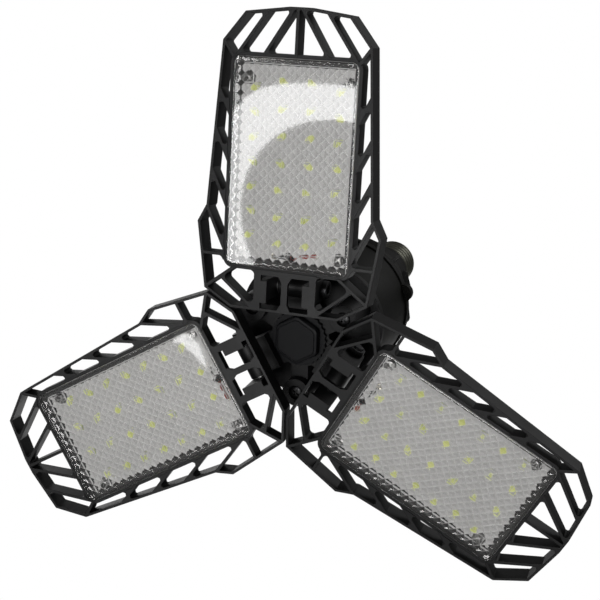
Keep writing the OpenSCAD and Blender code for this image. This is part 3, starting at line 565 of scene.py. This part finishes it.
# %% Skins from loops
def skin(shape, loops, closed=False, material=0, caps=(True, True)):
    """Joins loops of points that have the same count into a surface, and caps its ends."""
    rows = [[shape.verts.new(point) for point in loop] for loop in loops]
    count = len(rows[0])
    pairs = list(zip(rows, rows[1:])) + ([(rows[-1], rows[0])] if closed else [])
    for near, far in pairs:
        for k in range(count):
            n = (k + 1) % count
            shape.faces.new((near[k], near[n], far[n], far[k])).material_index = material
    if caps[0] and not closed:
        shape.faces.new(rows[0][::-1]).material_index = material
    if caps[1] and not closed:
        shape.faces.new(rows[-1]).material_index = material
    return rows


def round_loop(radius, depth, count=48, centre=(0.0, 0.0)):
    """A circle of points at one depth."""
    turns = [2 * math.pi * k / count for k in range(count)]
    return [(centre[0] + radius * math.cos(a), centre[1] + radius * math.sin(a), depth)
            for a in turns]


print("a skin joins loops, such as a circle of", len(round_loop(1.0, 0.0)), "points")

# %% [markdown]
# ## The lens
# A lens is one moulding: a smooth face with a rounded edge, a skirt that stands on the
# gasket, and the prism sheet on the inside. For light to bend as it should, it has to be
# one closed skin with no faces inside it. So the shell is skinned from rounded rectangles,
# and the flat ring between its inner wall and the prism sheet is filled last. One loop of
# the rounded edge is frosted white as a painted highlight, which shows as the pale line
# round each lens where the real edge catches the light.

# %% The lens
lens_corner, smallest_corner = 3.6 * MM, 0.4 * MM
lens_face = 1.8 * MM
skirt_wall = 0.8 * MM
edge_round = 0.6 * MM
edge_steps = 5
# The loop of the rounded edge that is frosted white as a painted highlight, and how strongly
painted_highlight_loop, edge_painted_highlight = 4, 1.25


def lens_loop(inset, depth, corner_steps=8):
    """A rounded rectangle, as far inside the lens's outline as it is inset."""
    radius = max(lens_corner - inset, smallest_corner)
    reach = (lens_length / 2 - inset - radius, lens_width / 2 - inset - radius)
    loop = []
    for quarter, (x, y) in enumerate(((1, 1), (-1, 1), (-1, -1), (1, -1))):
        for k in range(corner_steps + 1):
            turn = math.pi / 2 * (quarter + k / corner_steps)
            loop.append((lens_length / 2 + x * reach[0] + radius * math.cos(turn),
                         y * reach[1] + radius * math.sin(turn), depth))
    return loop


def lens_mesh():
    """The closed skin of a lens, and how many of its edges are open."""
    shape = bmesh.new()
    loops = [lens_loop(edge_round + 0.1 * MM, 0)]
    for k in range(edge_steps + 1):
        turn = math.pi / 2 * k / edge_steps
        loops.append(lens_loop(edge_round * (1 - math.sin(turn)),
                               edge_round * (1 - math.cos(turn))))
    loops += [lens_loop(0, skirt_depth), lens_loop(skirt_wall, skirt_depth),
              lens_loop(skirt_wall, lens_face)]
    valley = shape.verts.layers.float.new("valley")
    for vert in skin(shape, loops, caps=(True, False))[painted_highlight_loop]:
        vert[valley] = edge_painted_highlight
    before = len(shape.verts)
    shape.from_mesh(prism_sheet)
    shape.verts.ensure_lookup_table()
    bmesh.ops.translate(shape, verts=shape.verts[before:], vec=(lens_length / 2, 0, lens_face))
    rims = [edge for edge in shape.edges if edge.is_boundary]
    bmesh.ops.triangle_fill(shape, use_beauty=True, edges=rims)
    still_open = sum(not edge.is_manifold for edge in shape.edges)
    return mesh_of(shape, "lens", lens_clear), still_open


lens_shape, open_edges = lens_mesh()
rounded(lens_shape, 20.0)
for panel in PANELS:
    fit_piece("prismatic_lens_" + panel, lens_shape.copy(), "panel_" + panel, "lens_" + panel,
              places[panel])
print(len(lens_shape.polygons), "faces,", open_edges, "open edges")

# %% [markdown]
# ## The gasket
# A black rubber gasket lies between the skirt and the board. A soft lip of it comes out
# inside the skirt and lies on the board, and through the prisms it shows as a dark, jagged
# border. The lip is widened to paint shade: the dark border stands in for the shade that the
# tray walls cast along the board's edges. It is skinned from the same rounded rectangles as
# the lens, so it follows it.

# %% The gasket
def gasket_with_shade_lip_mesh():
    """A closed ring under the skirt, with a lip of rubber on the board inside it, widened as
    painted shade.
    """
    # The lip's 3.2 mm reach is painted shade along the board's edges
    reach, thick, chamfer, gap = 3.2 * MM, 1.0 * MM, 0.35 * MM, 0.1 * MM
    top = board_top - thick
    section = [(0.0, skirt_depth), (0.0, board_top), (reach, board_top), (reach, top + chamfer),
               (reach - 0.3 * MM, top), (skirt_wall + chamfer, top),
               (skirt_wall + gap, skirt_depth)]
    shape = bmesh.new()
    skin(shape, [lens_loop(inset, depth) for inset, depth in section], closed=True)
    return rounded(mesh_of(shape, "gasket", seal_rubber))


for panel in PANELS:
    fit_piece("lipped_gasket_" + panel, gasket_with_shade_lip_mesh(), "panel_" + panel, "gasket_" + panel,
              places[panel])
print("a gasket with a lip under each lens")

# %% [markdown]
# ## Light chips
# A light chip is a pale case with a shallow tray of yellow phosphor. The tree makes one
# chip from a flat block: it shrinks the top face to leave a wall, then sinks it a little.
# It sets a copy on each point, and the points are the middles of the solid chips.

# %% The tree of the chips
def points_mesh(name, points):
    """A mesh of loose points, for a tree to set copies on."""
    mesh = bpy.data.meshes.new(name)
    mesh.from_pydata(points, [], [])
    return mesh


def chip_tree():
    """A chip with a case and a sunk pad of phosphor on each point."""
    tree, given = new_tree("light_chips", Across="Float", Along="Float", Height="Float",
                           Wall="Float", Sink="Float", Case="Material", Phosphor="Material")
    size = step(tree, "ShaderNodeCombineXYZ", {0: given["Along"], 1: given["Across"],
                                               2: given["Height"]}).outputs[0]
    block = step(tree, "GeometryNodeMeshCube", {"Size": size}).outputs["Mesh"]
    cased = step(tree, "GeometryNodeSetMaterial", {"Geometry": block, "Material": given["Case"]})
    normal = step(tree, "GeometryNodeInputNormal").outputs[0]
    facing = step(tree, "ShaderNodeVectorMath", {0: normal, 1: (0.0, 0.0, -1.0)},
                  operation="DOT_PRODUCT").outputs["Value"]
    front = maths(tree, "GREATER_THAN", facing, 0.9)
    rim = step(tree, "GeometryNodeExtrudeMesh", {
        "Mesh": cased.outputs[0], "Selection": front, "Offset Scale": 0.0})
    left = maths(tree, "SUBTRACT", 1.0, maths(tree, "DIVIDE", given["Wall"], given["Along"]))
    tray = step(tree, "GeometryNodeScaleElements", {
        "Geometry": rim.outputs["Mesh"], "Selection": rim.outputs["Top"], "Scale": left})
    sunk = step(tree, "GeometryNodeExtrudeMesh", {
        "Mesh": tray.outputs[0], "Selection": rim.outputs["Top"],
        "Offset Scale": maths(tree, "MULTIPLY", given["Sink"], -1.0)})
    lit = step(tree, "GeometryNodeSetMaterial", {
        "Geometry": sunk.outputs["Mesh"], "Selection": sunk.outputs["Top"],
        "Material": given["Phosphor"]})
    copies = step(tree, "GeometryNodeInstanceOnPoints", {
        "Points": given["Geometry"], "Instance": lit.outputs[0]})
    real = step(tree, "GeometryNodeRealizeInstances", {"Geometry": copies.outputs[0]})
    step(tree, "NodeGroupOutput", {0: real.outputs[0]})
    return tree


chips = chip_tree()
print("chip tree:", len(chips.nodes), "nodes")

# %% The chips of each board
chip_wall, pad_sink = 0.5 * MM, 0.12 * MM
chip_size = chip_parts[0][1] - chip_parts[0][0]
for panel in PANELS:
    middles = [(low + high) / 2 for low, high in separate_parts("chips_" + panel, places[panel])]
    mesh = grow(chips, points_mesh("chip_places", middles), Across=chip_size.y, Along=chip_size.x,
                Height=chip_size.z, Wall=chip_wall, Sink=pad_sink, Case=chip_case_with_painted_light,
                Phosphor=chip_phosphor)
    fit_piece("light_chips_" + panel, mesh, "panel_" + panel, "chips_" + panel,
              places[panel])
print(len(mesh.polygons), "faces on", len(middles), "chips, each",
      [round(x / MM, 1) for x in chip_size], "mm")

# %% [markdown]
# ## Screws
# All the screws have a low round head with a cross recess. One head is turned as a lathe
# would turn it, and two tapered bars are cut from it for the cross. The tree then sets a
# copy at each place and turns each by its own chance amount, because no two screws stop at
# the same turn. The seed is fixed, so they are the same every time.

# %% One screw
screw_crease = 28.0


def cross_bar(shape, length, width, depth, turn):
    """A bar of the cross recess, narrower at its floor."""
    spin = Matrix.Rotation(turn, 3, "Z")
    above_head = -0.5 * MM
    floor_part, mouth_part = 0.72, 1.08
    loops = []
    for z, part in ((depth, floor_part), (above_head, mouth_part)):
        x, y = length / 2 * part, width / 2 * part
        loops.append([spin @ Vector((a, b, z)) for a, b in ((-x, -y), (x, -y), (x, y), (-x, y))])
    skin(shape, loops)


def screw_mesh(name, head_r, head_h, shank_r, shank_l, material):
    """A pan-head screw along +Z, its head's top at 0 and its shank behind it."""
    shape = bmesh.new()
    flat_part, crown, end_bevel = 0.35, head_h * 0.75, 0.3 * MM
    dome = [math.pi / 2 * k / 6 for k in range(6)]
    profile = [(head_r * (flat_part + (1 - flat_part) * math.sin(a)), crown * (1 - math.cos(a)))
               for a in dome]
    profile += [(head_r, crown), (head_r, head_h * 0.93), (head_r * 0.96, head_h),
                (shank_r, head_h), (shank_r, head_h + shank_l - end_bevel),
                (shank_r * 0.8, head_h + shank_l)]
    skin(shape, [round_loop(radius, depth) for radius, depth in profile])
    screw = new_object(name, mesh_of(shape, name, material))
    for number in range(2):
        bar = bmesh.new()
        cross_bar(bar, head_r * 1.1, head_r * 0.26, head_h * 0.6, math.pi / 2 * number)
        cutter = new_object("cutter", mesh_of(bar, "cutter", material))
        cut = screw.modifiers.new("cross", "BOOLEAN")
        cut.operation, cut.solver, cut.object = "DIFFERENCE", "EXACT", cutter
        cut_mesh = plain_mesh(screw)
        screw.modifiers.clear()
        screw.data = cut_mesh
        bpy.data.objects.remove(cutter)
    rounded(screw.data, screw_crease)
    return screw


def screw_for(node, name, head, shank_radius, material, place=Matrix()):
    """A screw as long as the solid ones of a node."""
    low, high = separate_parts(node, place)[0]
    return screw_mesh(name, *head, shank_radius, high.z - low.z - head[1], material)


print("screws are drawn as long as their solids")

# %% Setting screws in their places
def scatter_tree():
    """Sets a copy of a piece on each point, each turned about +Z by chance."""
    tree, given = new_tree("set_on_points", Piece="Object", Seed="Int", Material="Material")
    piece = step(tree, "GeometryNodeObjectInfo", {"Object": given["Piece"]}).outputs["Geometry"]
    chance = step(tree, "FunctionNodeRandomValue", {
        "Seed": given["Seed"], "Min": (0.0, 0.0, 0.0), "Max": (0.0, 0.0, 2 * math.pi)},
        data_type="FLOAT_VECTOR").outputs["Value"]
    copies = step(tree, "GeometryNodeInstanceOnPoints", {
        "Points": given["Geometry"], "Instance": piece, "Rotation": chance})
    end_tree(tree, copies.outputs[0], given["Material"])
    return tree


scatter = scatter_tree()


def set_screws(name, node, body, screw, seed, place=None, front=False):
    """Sets a screw at each separate part of a solid, its head where the solid's head is."""
    tops = []
    for low, high in separate_parts(node, place or Matrix()):
        depth = high.z if front else low.z
        tops.append(((low.x + high.x) / 2, (low.y + high.y) / 2, depth))
    mesh = grow(scatter, points_mesh(name, tops), Piece=screw, Seed=seed,
                Material=screw.data.materials[0])
    fit_piece(name, rounded(mesh, screw_crease), body, node, place)


print("screw tools ready")

# %% Board screws
board_head = (2.7 * MM, 1.6 * MM)
board_screw = screw_for("board_screws_front", "board_screw", board_head, 1.5 * MM, screw_steel,
                        places["front"])
for number, panel in enumerate(PANELS):
    set_screws("board_screws_set_" + panel, "board_screws_" + panel, "panel_" + panel,
               board_screw, 3 + number, places[panel])
bpy.data.objects.remove(board_screw)
print("four screws on each board, heads", board_head[0] * 2 / MM, "mm wide")

# %% [markdown]
# ## Screws of the hub and the housing
# The hub's three long screws sit in the posts and face the room. The three short screws of
# the housing go in from the other side, so the drawn screw is turned over for them.

# %% Screws of the hub and the housing
post_head = (3.6 * MM, 2.1 * MM)
post_screw = screw_for("post_screws", "post_screw", post_head, 2.0 * MM, dark_steel)
set_screws("post_screws_set", "post_screws", "hub", post_screw, 11)
bpy.data.objects.remove(post_screw)

lug_head = (2.3 * MM, 1.8 * MM)
lug_screw = screw_for("lug_screws", "lug_screw", lug_head, 1.4 * MM, screw_steel)
lug_screw.data.transform(Matrix.Rotation(math.pi, 4, "X"))
set_screws("lug_screws_set", "lug_screws", "hub", lug_screw, 17, front=True)
bpy.data.objects.remove(lug_screw)
print("three post screws and three lug screws")

# %% [markdown]
# ## Leads
# Two soft leads come through the grommet of each panel, bend over on the board, and end in
# a bead of solder. A lead is a round tube along a smooth curve, which a few points in the
# panel's own axes pull into shape.

# %% Leads
lead_radius = 0.4 * MM
# Radius and height over the board of a bead of solder, from its foot up, in millimetres
BEAD = ((1.2, 0.0), (1.1, 0.3), (0.8, 0.6), (0.3, 0.75))
low, high = separate_parts("lead_grommet_front", places["front"])[0]
lead_hole = (low.x + high.x) / 2
# Where the red and the black lead of each panel end: across it, and along it from the hole
LEAD_REACH = {"front": ((13.4, 2.7), (-8.0, 0.4)), "right": ((4.6, 0.2), (-12.4, 3.4)),
              "left": ((-11.6, -0.2), (8.0, 1.0))}


def lead_mesh(shape, across, along, number):
    """A lead from behind the grommet, over the board, to its solder bead."""
    # Points along, across and back, in millimetres; the first three are in the grommet
    side = math.copysign(1.1, across)
    route = [(0, side, 11.0), (0, side, 8.0), (0, side, 5.6), (0.2 * along, 2 * side, 5.05),
             (0.6 * along, 0.6 * across, 5.0), (along, across, 5.05)]
    curve = bpy.data.curves.new("lead", "CURVE")
    curve.dimensions = "3D"
    curve.bevel_depth = lead_radius
    curve.bevel_resolution = 4
    curve.use_fill_caps = True
    spline = curve.splines.new("NURBS")
    spline.points.add(len(route) - 1)
    for point, (x, y, z) in zip(spline.points, route):
        point.co = (lead_hole + x * MM, y * MM, z * MM, 1.0)
    spline.use_endpoint_u = True
    spline.order_u = 4
    spline.resolution_u = 8
    holder = bpy.data.objects.new("lead", curve)
    before = len(shape.faces)
    shape.from_mesh(bpy.data.meshes.new_from_object(holder))
    bpy.data.objects.remove(holder)
    shape.faces.ensure_lookup_table()
    for face in shape.faces[before:]:
        face.material_index = number
    middle = (lead_hole + (along + 0.2) * MM, across * MM)
    skin(shape, [round_loop(r * MM, board_top - h * MM, 20, middle) for r, h in BEAD],
         material=2)


for panel in PANELS:
    shape = bmesh.new()
    for number, (across, along) in enumerate(LEAD_REACH[panel]):
        lead_mesh(shape, across, along, number)
    mesh = rounded(mesh_of(shape, "leads", lead_red, lead_black, contact_metal), 50.0)
    fit_piece("leads_" + panel, mesh, "panel_" + panel, "lead_ends_" + panel,
              places[panel])
print("two leads on each board")

# %% [markdown]
# ## Hinge bolts and nuts
# Each hinge bolt has a round head with a hexagon socket, and its nut has chamfered corners.
# Both are skinned from loops: a circle and a hexagon whose points sit at the same turns can
# be joined straight to each other.

# %% Hexagons and the places of the hinges
def hexagon_loop(across_flats, depth, count=48, corner=0.0):
    """A hexagon with rounded corners, with its points at the same turns as a circle's."""
    reach = across_flats / 2
    limit = reach / math.cos(math.radians(30)) - corner
    loop = []
    for k in range(count):
        turn = 2 * math.pi * k / count
        off = (turn + math.radians(30)) % math.radians(60) - math.radians(30)
        radius = min(reach / math.cos(off), limit)
        loop.append((radius * math.cos(turn), radius * math.sin(turn), depth))
    return loop


def hinge_place(panel):
    """The matrix from a bolt's own axes, +Z along the hinge from the nut, to the light's."""
    low, high = separate_parts("hinge_bolt_" + panel, places[panel])[0]
    middle = (low + high) / 2
    turn = Matrix.Rotation(-math.pi / 2, 4, "X")
    return places[panel] @ Matrix.Translation((middle.x, 0, middle.z)) @ turn


print("hinges at z", [round(hinge_place(panel).translation.z / MM, 1) for panel in PANELS], "mm")

# %% Hinge bolts and nuts
def bolt_mesh(reach, foot):
    """A socket-head bolt that ends at reach on its head's side and at foot on the other."""
    head_r, shank_r, under_head = 4.4 * MM, 2.5 * MM, reach - 2.8 * MM
    edge, brim, bevel = 0.5 * MM, 0.15 * MM, 0.1 * MM
    socket, mouth, floor, tip = 4.0 * MM, 0.7 * MM, reach - 1.8 * MM, 0.4 * MM
    turned = [(shank_r - edge, foot), (shank_r, foot + edge), (shank_r, under_head),
              (head_r - bevel, under_head), (head_r, under_head + bevel), (head_r, reach - edge),
              (head_r - brim, reach - brim), (head_r - edge, reach), (socket / 2 + mouth, reach)]
    shape = bmesh.new()
    skin(shape, [round_loop(radius, depth) for radius, depth in turned]
         + [hexagon_loop(socket, reach - 0.3 * MM), hexagon_loop(socket, floor),
            hexagon_loop(tip, floor - tip)])
    return rounded(mesh_of(shape, "bolt", bolt_steel))


def nut_mesh(foot, top):
    """A nut whose corners are chamfered on both faces, round the bolt."""
    flats, bore, chamfer = 8.0 * MM, 2.55 * MM, 0.5 * MM
    corner = flats / 2 / math.cos(math.radians(30)) - flats / 2 + 0.1 * MM
    shape = bmesh.new()
    skin(shape, [
        round_loop(bore, foot + chamfer), round_loop(bore + chamfer, foot),
        hexagon_loop(flats, foot, corner=corner), hexagon_loop(flats, foot + chamfer),
        hexagon_loop(flats, top - chamfer), hexagon_loop(flats, top, corner=corner),
        round_loop(bore + chamfer, top), round_loop(bore, top - chamfer)], closed=True)
    return rounded(mesh_of(shape, "nut", bolt_steel))


for panel in PANELS:
    to_hinge = hinge_place(panel)
    low, high = separate_parts("hinge_bolt_" + panel, to_hinge)[0]
    fit_piece("socket_bolt_" + panel, bolt_mesh(high.z, low.z), "panel_" + panel,
              "hinge_bolt_" + panel, to_hinge)
    low, high = separate_parts("hinge_nut_" + panel, to_hinge)[0]
    fit_piece("chamfered_nut_" + panel, nut_mesh(low.z, high.z), "panel_" + panel,
              "hinge_nut_" + panel, to_hinge)
print("a bolt and a nut in each hinge, nut", round((high.z - low.z) / MM, 1), "mm thick")

# %% [markdown]
# ## The hexagon cap
# The cap that faces the room has a soft chamfer and a fine groove just inside it. Its face
# stays bare. It is skinned from hexagons whose corners are a little rounded.

# %% The hexagon cap
cap_flats, stem_radius, cap_corner = 22.4 * MM, 6.0 * MM, 0.5 * MM
# How far in each hexagon is and how far behind the face, in millimetres, from the back
CAP_RIM = ((0, 4.2), (0, 0.9), (0.25, 0.315), (0.9, 0), (1.3, 0), (1.4, 0.35), (1.75, 0.35),
           (1.85, 0), (2.6, 0))


def cap_mesh(count=96):
    """The stem and the cap, whose face is where the solid's face is."""
    low, high = separate_parts("hex_cap")[0]
    loops = [round_loop(stem_radius, high.z, count),
             round_loop(stem_radius, low.z + CAP_RIM[0][1] * MM, count)]
    loops += [hexagon_loop(cap_flats - 2 * inset * MM, low.z + behind * MM, count,
                           corner=cap_corner) for inset, behind in CAP_RIM]
    shape = bmesh.new()
    skin(shape, loops)
    return rounded(mesh_of(shape, "cap", cap_plastic), 30.0)


fit_piece("bare_hexagon_cap", cap_mesh(), "hub", "hex_cap")
print("cap", [round((b - a) / MM, 1) for a, b in zip(*separate_parts("hex_cap")[0])], "mm")

# %% [markdown]
# ## The screw shell
# The thread of a lamp base is rolled into thin metal, so it waves in and out on both sides
# of the wall. A smooth shell is turned first, with many fine rings. The tree then moves
# every point in towards the axis by a wave that climbs one pitch in each turn, and fades
# the wave out at the rim and at the shoulder.

# %% The tree of the thread
def thread_tree():
    """Moves a turned skin in by a wave that climbs round it and fades at both ends."""
    tree, given = new_tree("rolled_thread", Pitch="Float", Depth="Float", Start="Float",
                           End="Float", Fade="Float", Material="Material")
    calc = partial(maths, tree)
    where = step(tree, "GeometryNodeInputPosition").outputs[0]
    parts = step(tree, "ShaderNodeSeparateXYZ", {0: where}).outputs
    turn = calc("ARCTAN2", parts["Y"], parts["X"])
    climb = calc("MULTIPLY", calc("DIVIDE", parts["Z"], given["Pitch"]), 2 * math.pi)
    groove = calc("MULTIPLY_ADD", calc("COSINE", calc("SUBTRACT", climb, turn)), -0.5, 0.5)

    def fade(low, high, first, last):
        """Goes smoothly from one value to another between two heights."""
        return step(tree, "ShaderNodeMapRange", {
            "Value": parts["Z"], 1: low, 2: high, 3: first, 4: last},
            interpolation_type="SMOOTHSTEP").outputs["Result"]

    rise = fade(given["Start"], calc("ADD", given["Start"], given["Fade"]), 0.0, 1.0)
    fall = fade(calc("SUBTRACT", given["End"], given["Fade"]), given["End"], 1.0, 0.0)
    depth = calc("MULTIPLY", calc("MULTIPLY", groove, given["Depth"]),
                 calc("MULTIPLY", rise, fall))
    flat = step(tree, "ShaderNodeCombineXYZ", {0: parts["X"], 1: parts["Y"]}).outputs[0]
    outwards = step(tree, "ShaderNodeVectorMath", {0: flat}, operation="NORMALIZE").outputs[0]
    inwards = step(tree, "ShaderNodeVectorMath", {
        0: outwards, "Scale": calc("MULTIPLY", depth, -1.0)}, operation="SCALE").outputs[0]
    waved = step(tree, "GeometryNodeSetPosition", {
        "Geometry": given["Geometry"], "Offset": inwards}).outputs[0]
    smooth = step(tree, "GeometryNodeSetShadeSmooth", {"Geometry": waved}).outputs[0]
    end_tree(tree, smooth, given["Material"])
    return tree


thread = thread_tree()
print("thread tree:", len(thread.nodes), "nodes")

# %% The screw shell
def turned_mesh(name, profile, material, count=64, closed=False):
    """A skin turned round the axis from a profile of (radius, height) points."""
    shape = bmesh.new()
    skin(shape, [round_loop(radius, height, count) for radius, height in profile], closed)
    return mesh_of(shape, name, material)


def shell_profile(low, high, radius, rings=64, bends=6):
    """Up the outside, over the shoulder to the mouth, and down the inside."""
    mouth, wall, shoulder = 9.0 * MM, 0.6 * MM, 1.5 * MM
    top = high - shoulder
    up = [(radius, low + (top - low) * k / rings) for k in range(rings + 1)]
    turns = [math.pi / 2 * k / bends for k in range(1, bends + 1)]
    bend = [(radius - shoulder * (1 - math.cos(a)), top + shoulder * math.sin(a)) for a in turns]
    lip = [(mouth, high), (mouth, high - wall), (radius - shoulder - wall / 2, high - wall)]
    inner = [(r - wall, z) for r, z in reversed(up)]
    return up + bend + lip + inner


low, high = separate_parts("screw_shell")[0]
thread_pitch, thread_depth, thread_fade = 25.4 / 7 * MM, 0.75 * MM, 2.2 * MM
thread_start, thread_end = low.z + 1.0 * MM, high.z - 0.8 * MM
shell_shape = turned_mesh("shell", shell_profile(low.z, high.z, high.x), shell_metal_painted_shade, 128, True)
shell = grow(thread, shell_shape, Pitch=thread_pitch, Depth=thread_depth,
             Start=thread_start, End=thread_end, Fade=thread_fade, Material=shell_metal_painted_shade)
fit_piece("threaded_shell", shell, "hub", "screw_shell")
print(len(shell.polygons), "faces,", round((high.z - low.z) / thread_pitch, 1), "turns of thread")

# %% [markdown]
# ## The end of the base
# Behind the shell is a cone of black glass, and on it a bead of solder makes the contact.

# %% The end of the base
# A piece's name, its solid, the radius of its top, its bulge, its finish and its slot
BASE_ENDS = (
    ("glass_cone", "base_insulator", 5.2 * MM, 1.6, shell_glass, "base_glass"),
    ("solder_contact", "centre_contact", 1.4 * MM, 2.4, contact_metal, "contact_brass"))


def dome_profile(low, high, top_radius, bulge, steps=10):
    """Radii and heights of a domed piece from its foot to its top."""
    parts = [k / steps for k in range(steps + 1)]
    return [(high.x + (top_radius - high.x) * part ** bulge, low.z + (high.z - low.z) * part)
            for part in parts]


for name, node, top_radius, bulge, material, slot in BASE_ENDS:
    low, high = separate_parts(node)[0]
    mesh = turned_mesh(name, dome_profile(low, high, top_radius, bulge), material)
    fit_piece(name, rounded(mesh), "hub", node)
print("base ends", round(high.z / MM, 1), "mm above the rim of the shell")

# %% [markdown]
# ## Floor and background
# The light hangs from a ceiling, so a plain pale floor lies well below it. The background
# is white for the camera, also where it looks through a lens, and a faint even fill for
# everything else, while the lamps set how bright the light itself is. For the camera most
# of the floor's paleness is its own, and the rest keeps the light's shadow.

# %% Floor and background
floor_height, floor_side = -2.35, 60.0
own_paleness = 0.85
background_fill = 0.14


def glow(tree, strength=1.0):
    """A plain white emission."""
    return step(tree, "ShaderNodeEmission", {
        "Color": WHITE, "Strength": strength}).outputs["Emission"]


corners = [(x * floor_side / 2, y * floor_side / 2, floor_height)
           for x, y in ((-1, -1), (1, -1), (1, 1), (-1, 1))]
floor_mesh = bpy.data.meshes.new("floor")
floor_mesh.from_pydata(corners, [], [(0, 1, 2, 3)])
floor = new_object("floor", floor_mesh)

floor_pale, tree, shader = finish("pale_floor", Roughness=0.6)
feed(tree, shader, Base_Color=shades(tree, speckle(tree, 3.0), (0.72, 0.72, 0.72),
                                     (0.78, 0.78, 0.78)))
own_part = maths(tree, "MULTIPLY", step(tree, "ShaderNodeLightPath").outputs["Is Camera Ray"],
                 own_paleness)
pale = step(tree, "ShaderNodeMixShader", {0: own_part, 1: shader.outputs["BSDF"],
                                          2: glow(tree)})
feed(tree, tree.nodes["Material Output"], Surface=pale.outputs["Shader"])
floor.data.materials.append(floor_pale)


def soft_world(fill):
    """White for what sees the background, also through a lens, and a plain fill elsewhere."""
    world = bpy.data.worlds.new("studio")
    bpy.context.scene.world = world
    world.use_nodes = True
    tree = world.node_tree
    path = step(tree, "ShaderNodeLightPath").outputs
    bounces = maths(tree, "ADD", path["Diffuse Depth"], path["Glossy Depth"])
    straight = maths(tree, "LESS_THAN", bounces, 0.5)
    through = maths(tree, "MULTIPLY", path["Is Transmission Ray"], straight)
    seen = maths(tree, "MAXIMUM", path["Is Camera Ray"], through)
    background = tree.nodes["Background"]
    background.inputs["Color"].default_value = WHITE
    feed(tree, background, Strength=maths(tree, "MAXIMUM", seen, fill))


soft_world(background_fill)
print(f"floor {-floor_height:.2f} m below the rim of the shell")

# %% [markdown]
# ## Lamps
# One wide lamp stands straight below. Three more stand higher up, at even turns, and light
# the housing and the backs of the panels. Two glowing cards are seen only in gloss: a round
# lamp with a dark middle shows in the front lens, and a small card makes the bright corner
# of the left one.

# %% Lamps
def soft_lamp(name, at, towards, side, power):
    """A square area lamp that faces a point."""
    lamp = new_object(name, bpy.data.lights.new(name, "AREA"))
    lamp.data.size = side
    lamp.data.energy = power
    turn = (Vector(towards) - Vector(at)).to_track_quat("-Z", "Y")
    lamp.matrix_world = Matrix.Translation(at) @ turn.to_matrix().to_4x4()


soft_lamp("front_lamp", at=(0.05, 0.0, -1.7), towards=(0.0, 0.0, -0.1), side=0.7, power=16.0)
upper_reach, upper_height = 1.5, 1.1
for turn in (75, 195, 315):
    a = math.radians(turn)
    at = (upper_reach * math.cos(a), upper_reach * math.sin(a), upper_height)
    soft_lamp(f"upper_lamp_{turn}", at, towards=(0.0, 0.0, -0.08), side=1.0, power=8.0)
print("one lamp below and three above")

# %% Lamps that only gloss shows
def oval(middle, reach, turn=0.0, power=2.0, count=96):
    """A closed loop of points: an oval for power 2, nearer to a rectangle for more."""
    loop = []
    for k in range(count):
        a = 2 * math.pi * k / count
        parts = abs(math.cos(a - turn) / reach[0]), abs(math.sin(a - turn) / reach[1])
        radius = sum(part ** power for part in parts) ** (-1 / power)
        loop.append((middle[0] + radius * math.cos(a), middle[1] + radius * math.sin(a)))
    return loop


def mirrored_lamp(name, panel, loops, distance, strength):
    """A lamp seen only in gloss, where it shows inside a loop, or between two, on a lens.

    The loops are in millimetres on the lens face, along it and across it. Seen from the
    camera's mirror image behind the lens, the lamp is a larger copy of them.
    """
    eye = places[panel].inverted() @ camera_at
    grow_by = 1 + distance / -eye.z
    shape = bmesh.new()
    skin(shape, [[(eye.x + (x * MM - eye.x) * grow_by, eye.y + (y * MM - eye.y) * grow_by,
                   -distance) for x, y in loop] for loop in loops],
         caps=(len(loops) == 1, False))
    glowing, tree, shader = finish(name)
    tree.nodes.remove(shader)
    feed(tree, tree.nodes["Material Output"], Surface=glow(tree, strength))
    mesh = mesh_of(shape, name, glowing)
    mesh.transform(places[panel])
    lamp = new_object(name, mesh)
    lamp.visible_camera = False
    lamp.visible_diffuse = False
    lamp.visible_shadow = False


lamp_distance = 1.1
dark_middle = oval((23.7, 28.6), (55.0, 47.9), turn=2.1)
lamp_edge = oval((30.0, 28.6), (59.5, 64.0), power=4.0)
mirrored_lamp("round_lamp", "front", (dark_middle, lamp_edge), lamp_distance, 9.5)
# The bright corner of the left lens, as points on it
card_edge = ((15.9, 26.9), (9.7, 28.9), (6.1, 26.9), (4.2, 23.9), (3.6, 19.8), (4.1, 14.8),
             (5.2, 7.1), (6.8, 10.0), (8.8, 17.3), (10.4, 21.0), (12.2, 24.4))
mirrored_lamp("corner_card", "left", (card_edge,), lamp_distance, 8.5)
print(f"two cards seen in gloss, {lamp_distance:.1f} m from their lenses")

# %% [markdown]
# ## Finish
# Standard view colours show each finish as it is written.

# %% Finish
bpy.context.scene.view_settings.view_transform = "Standard"
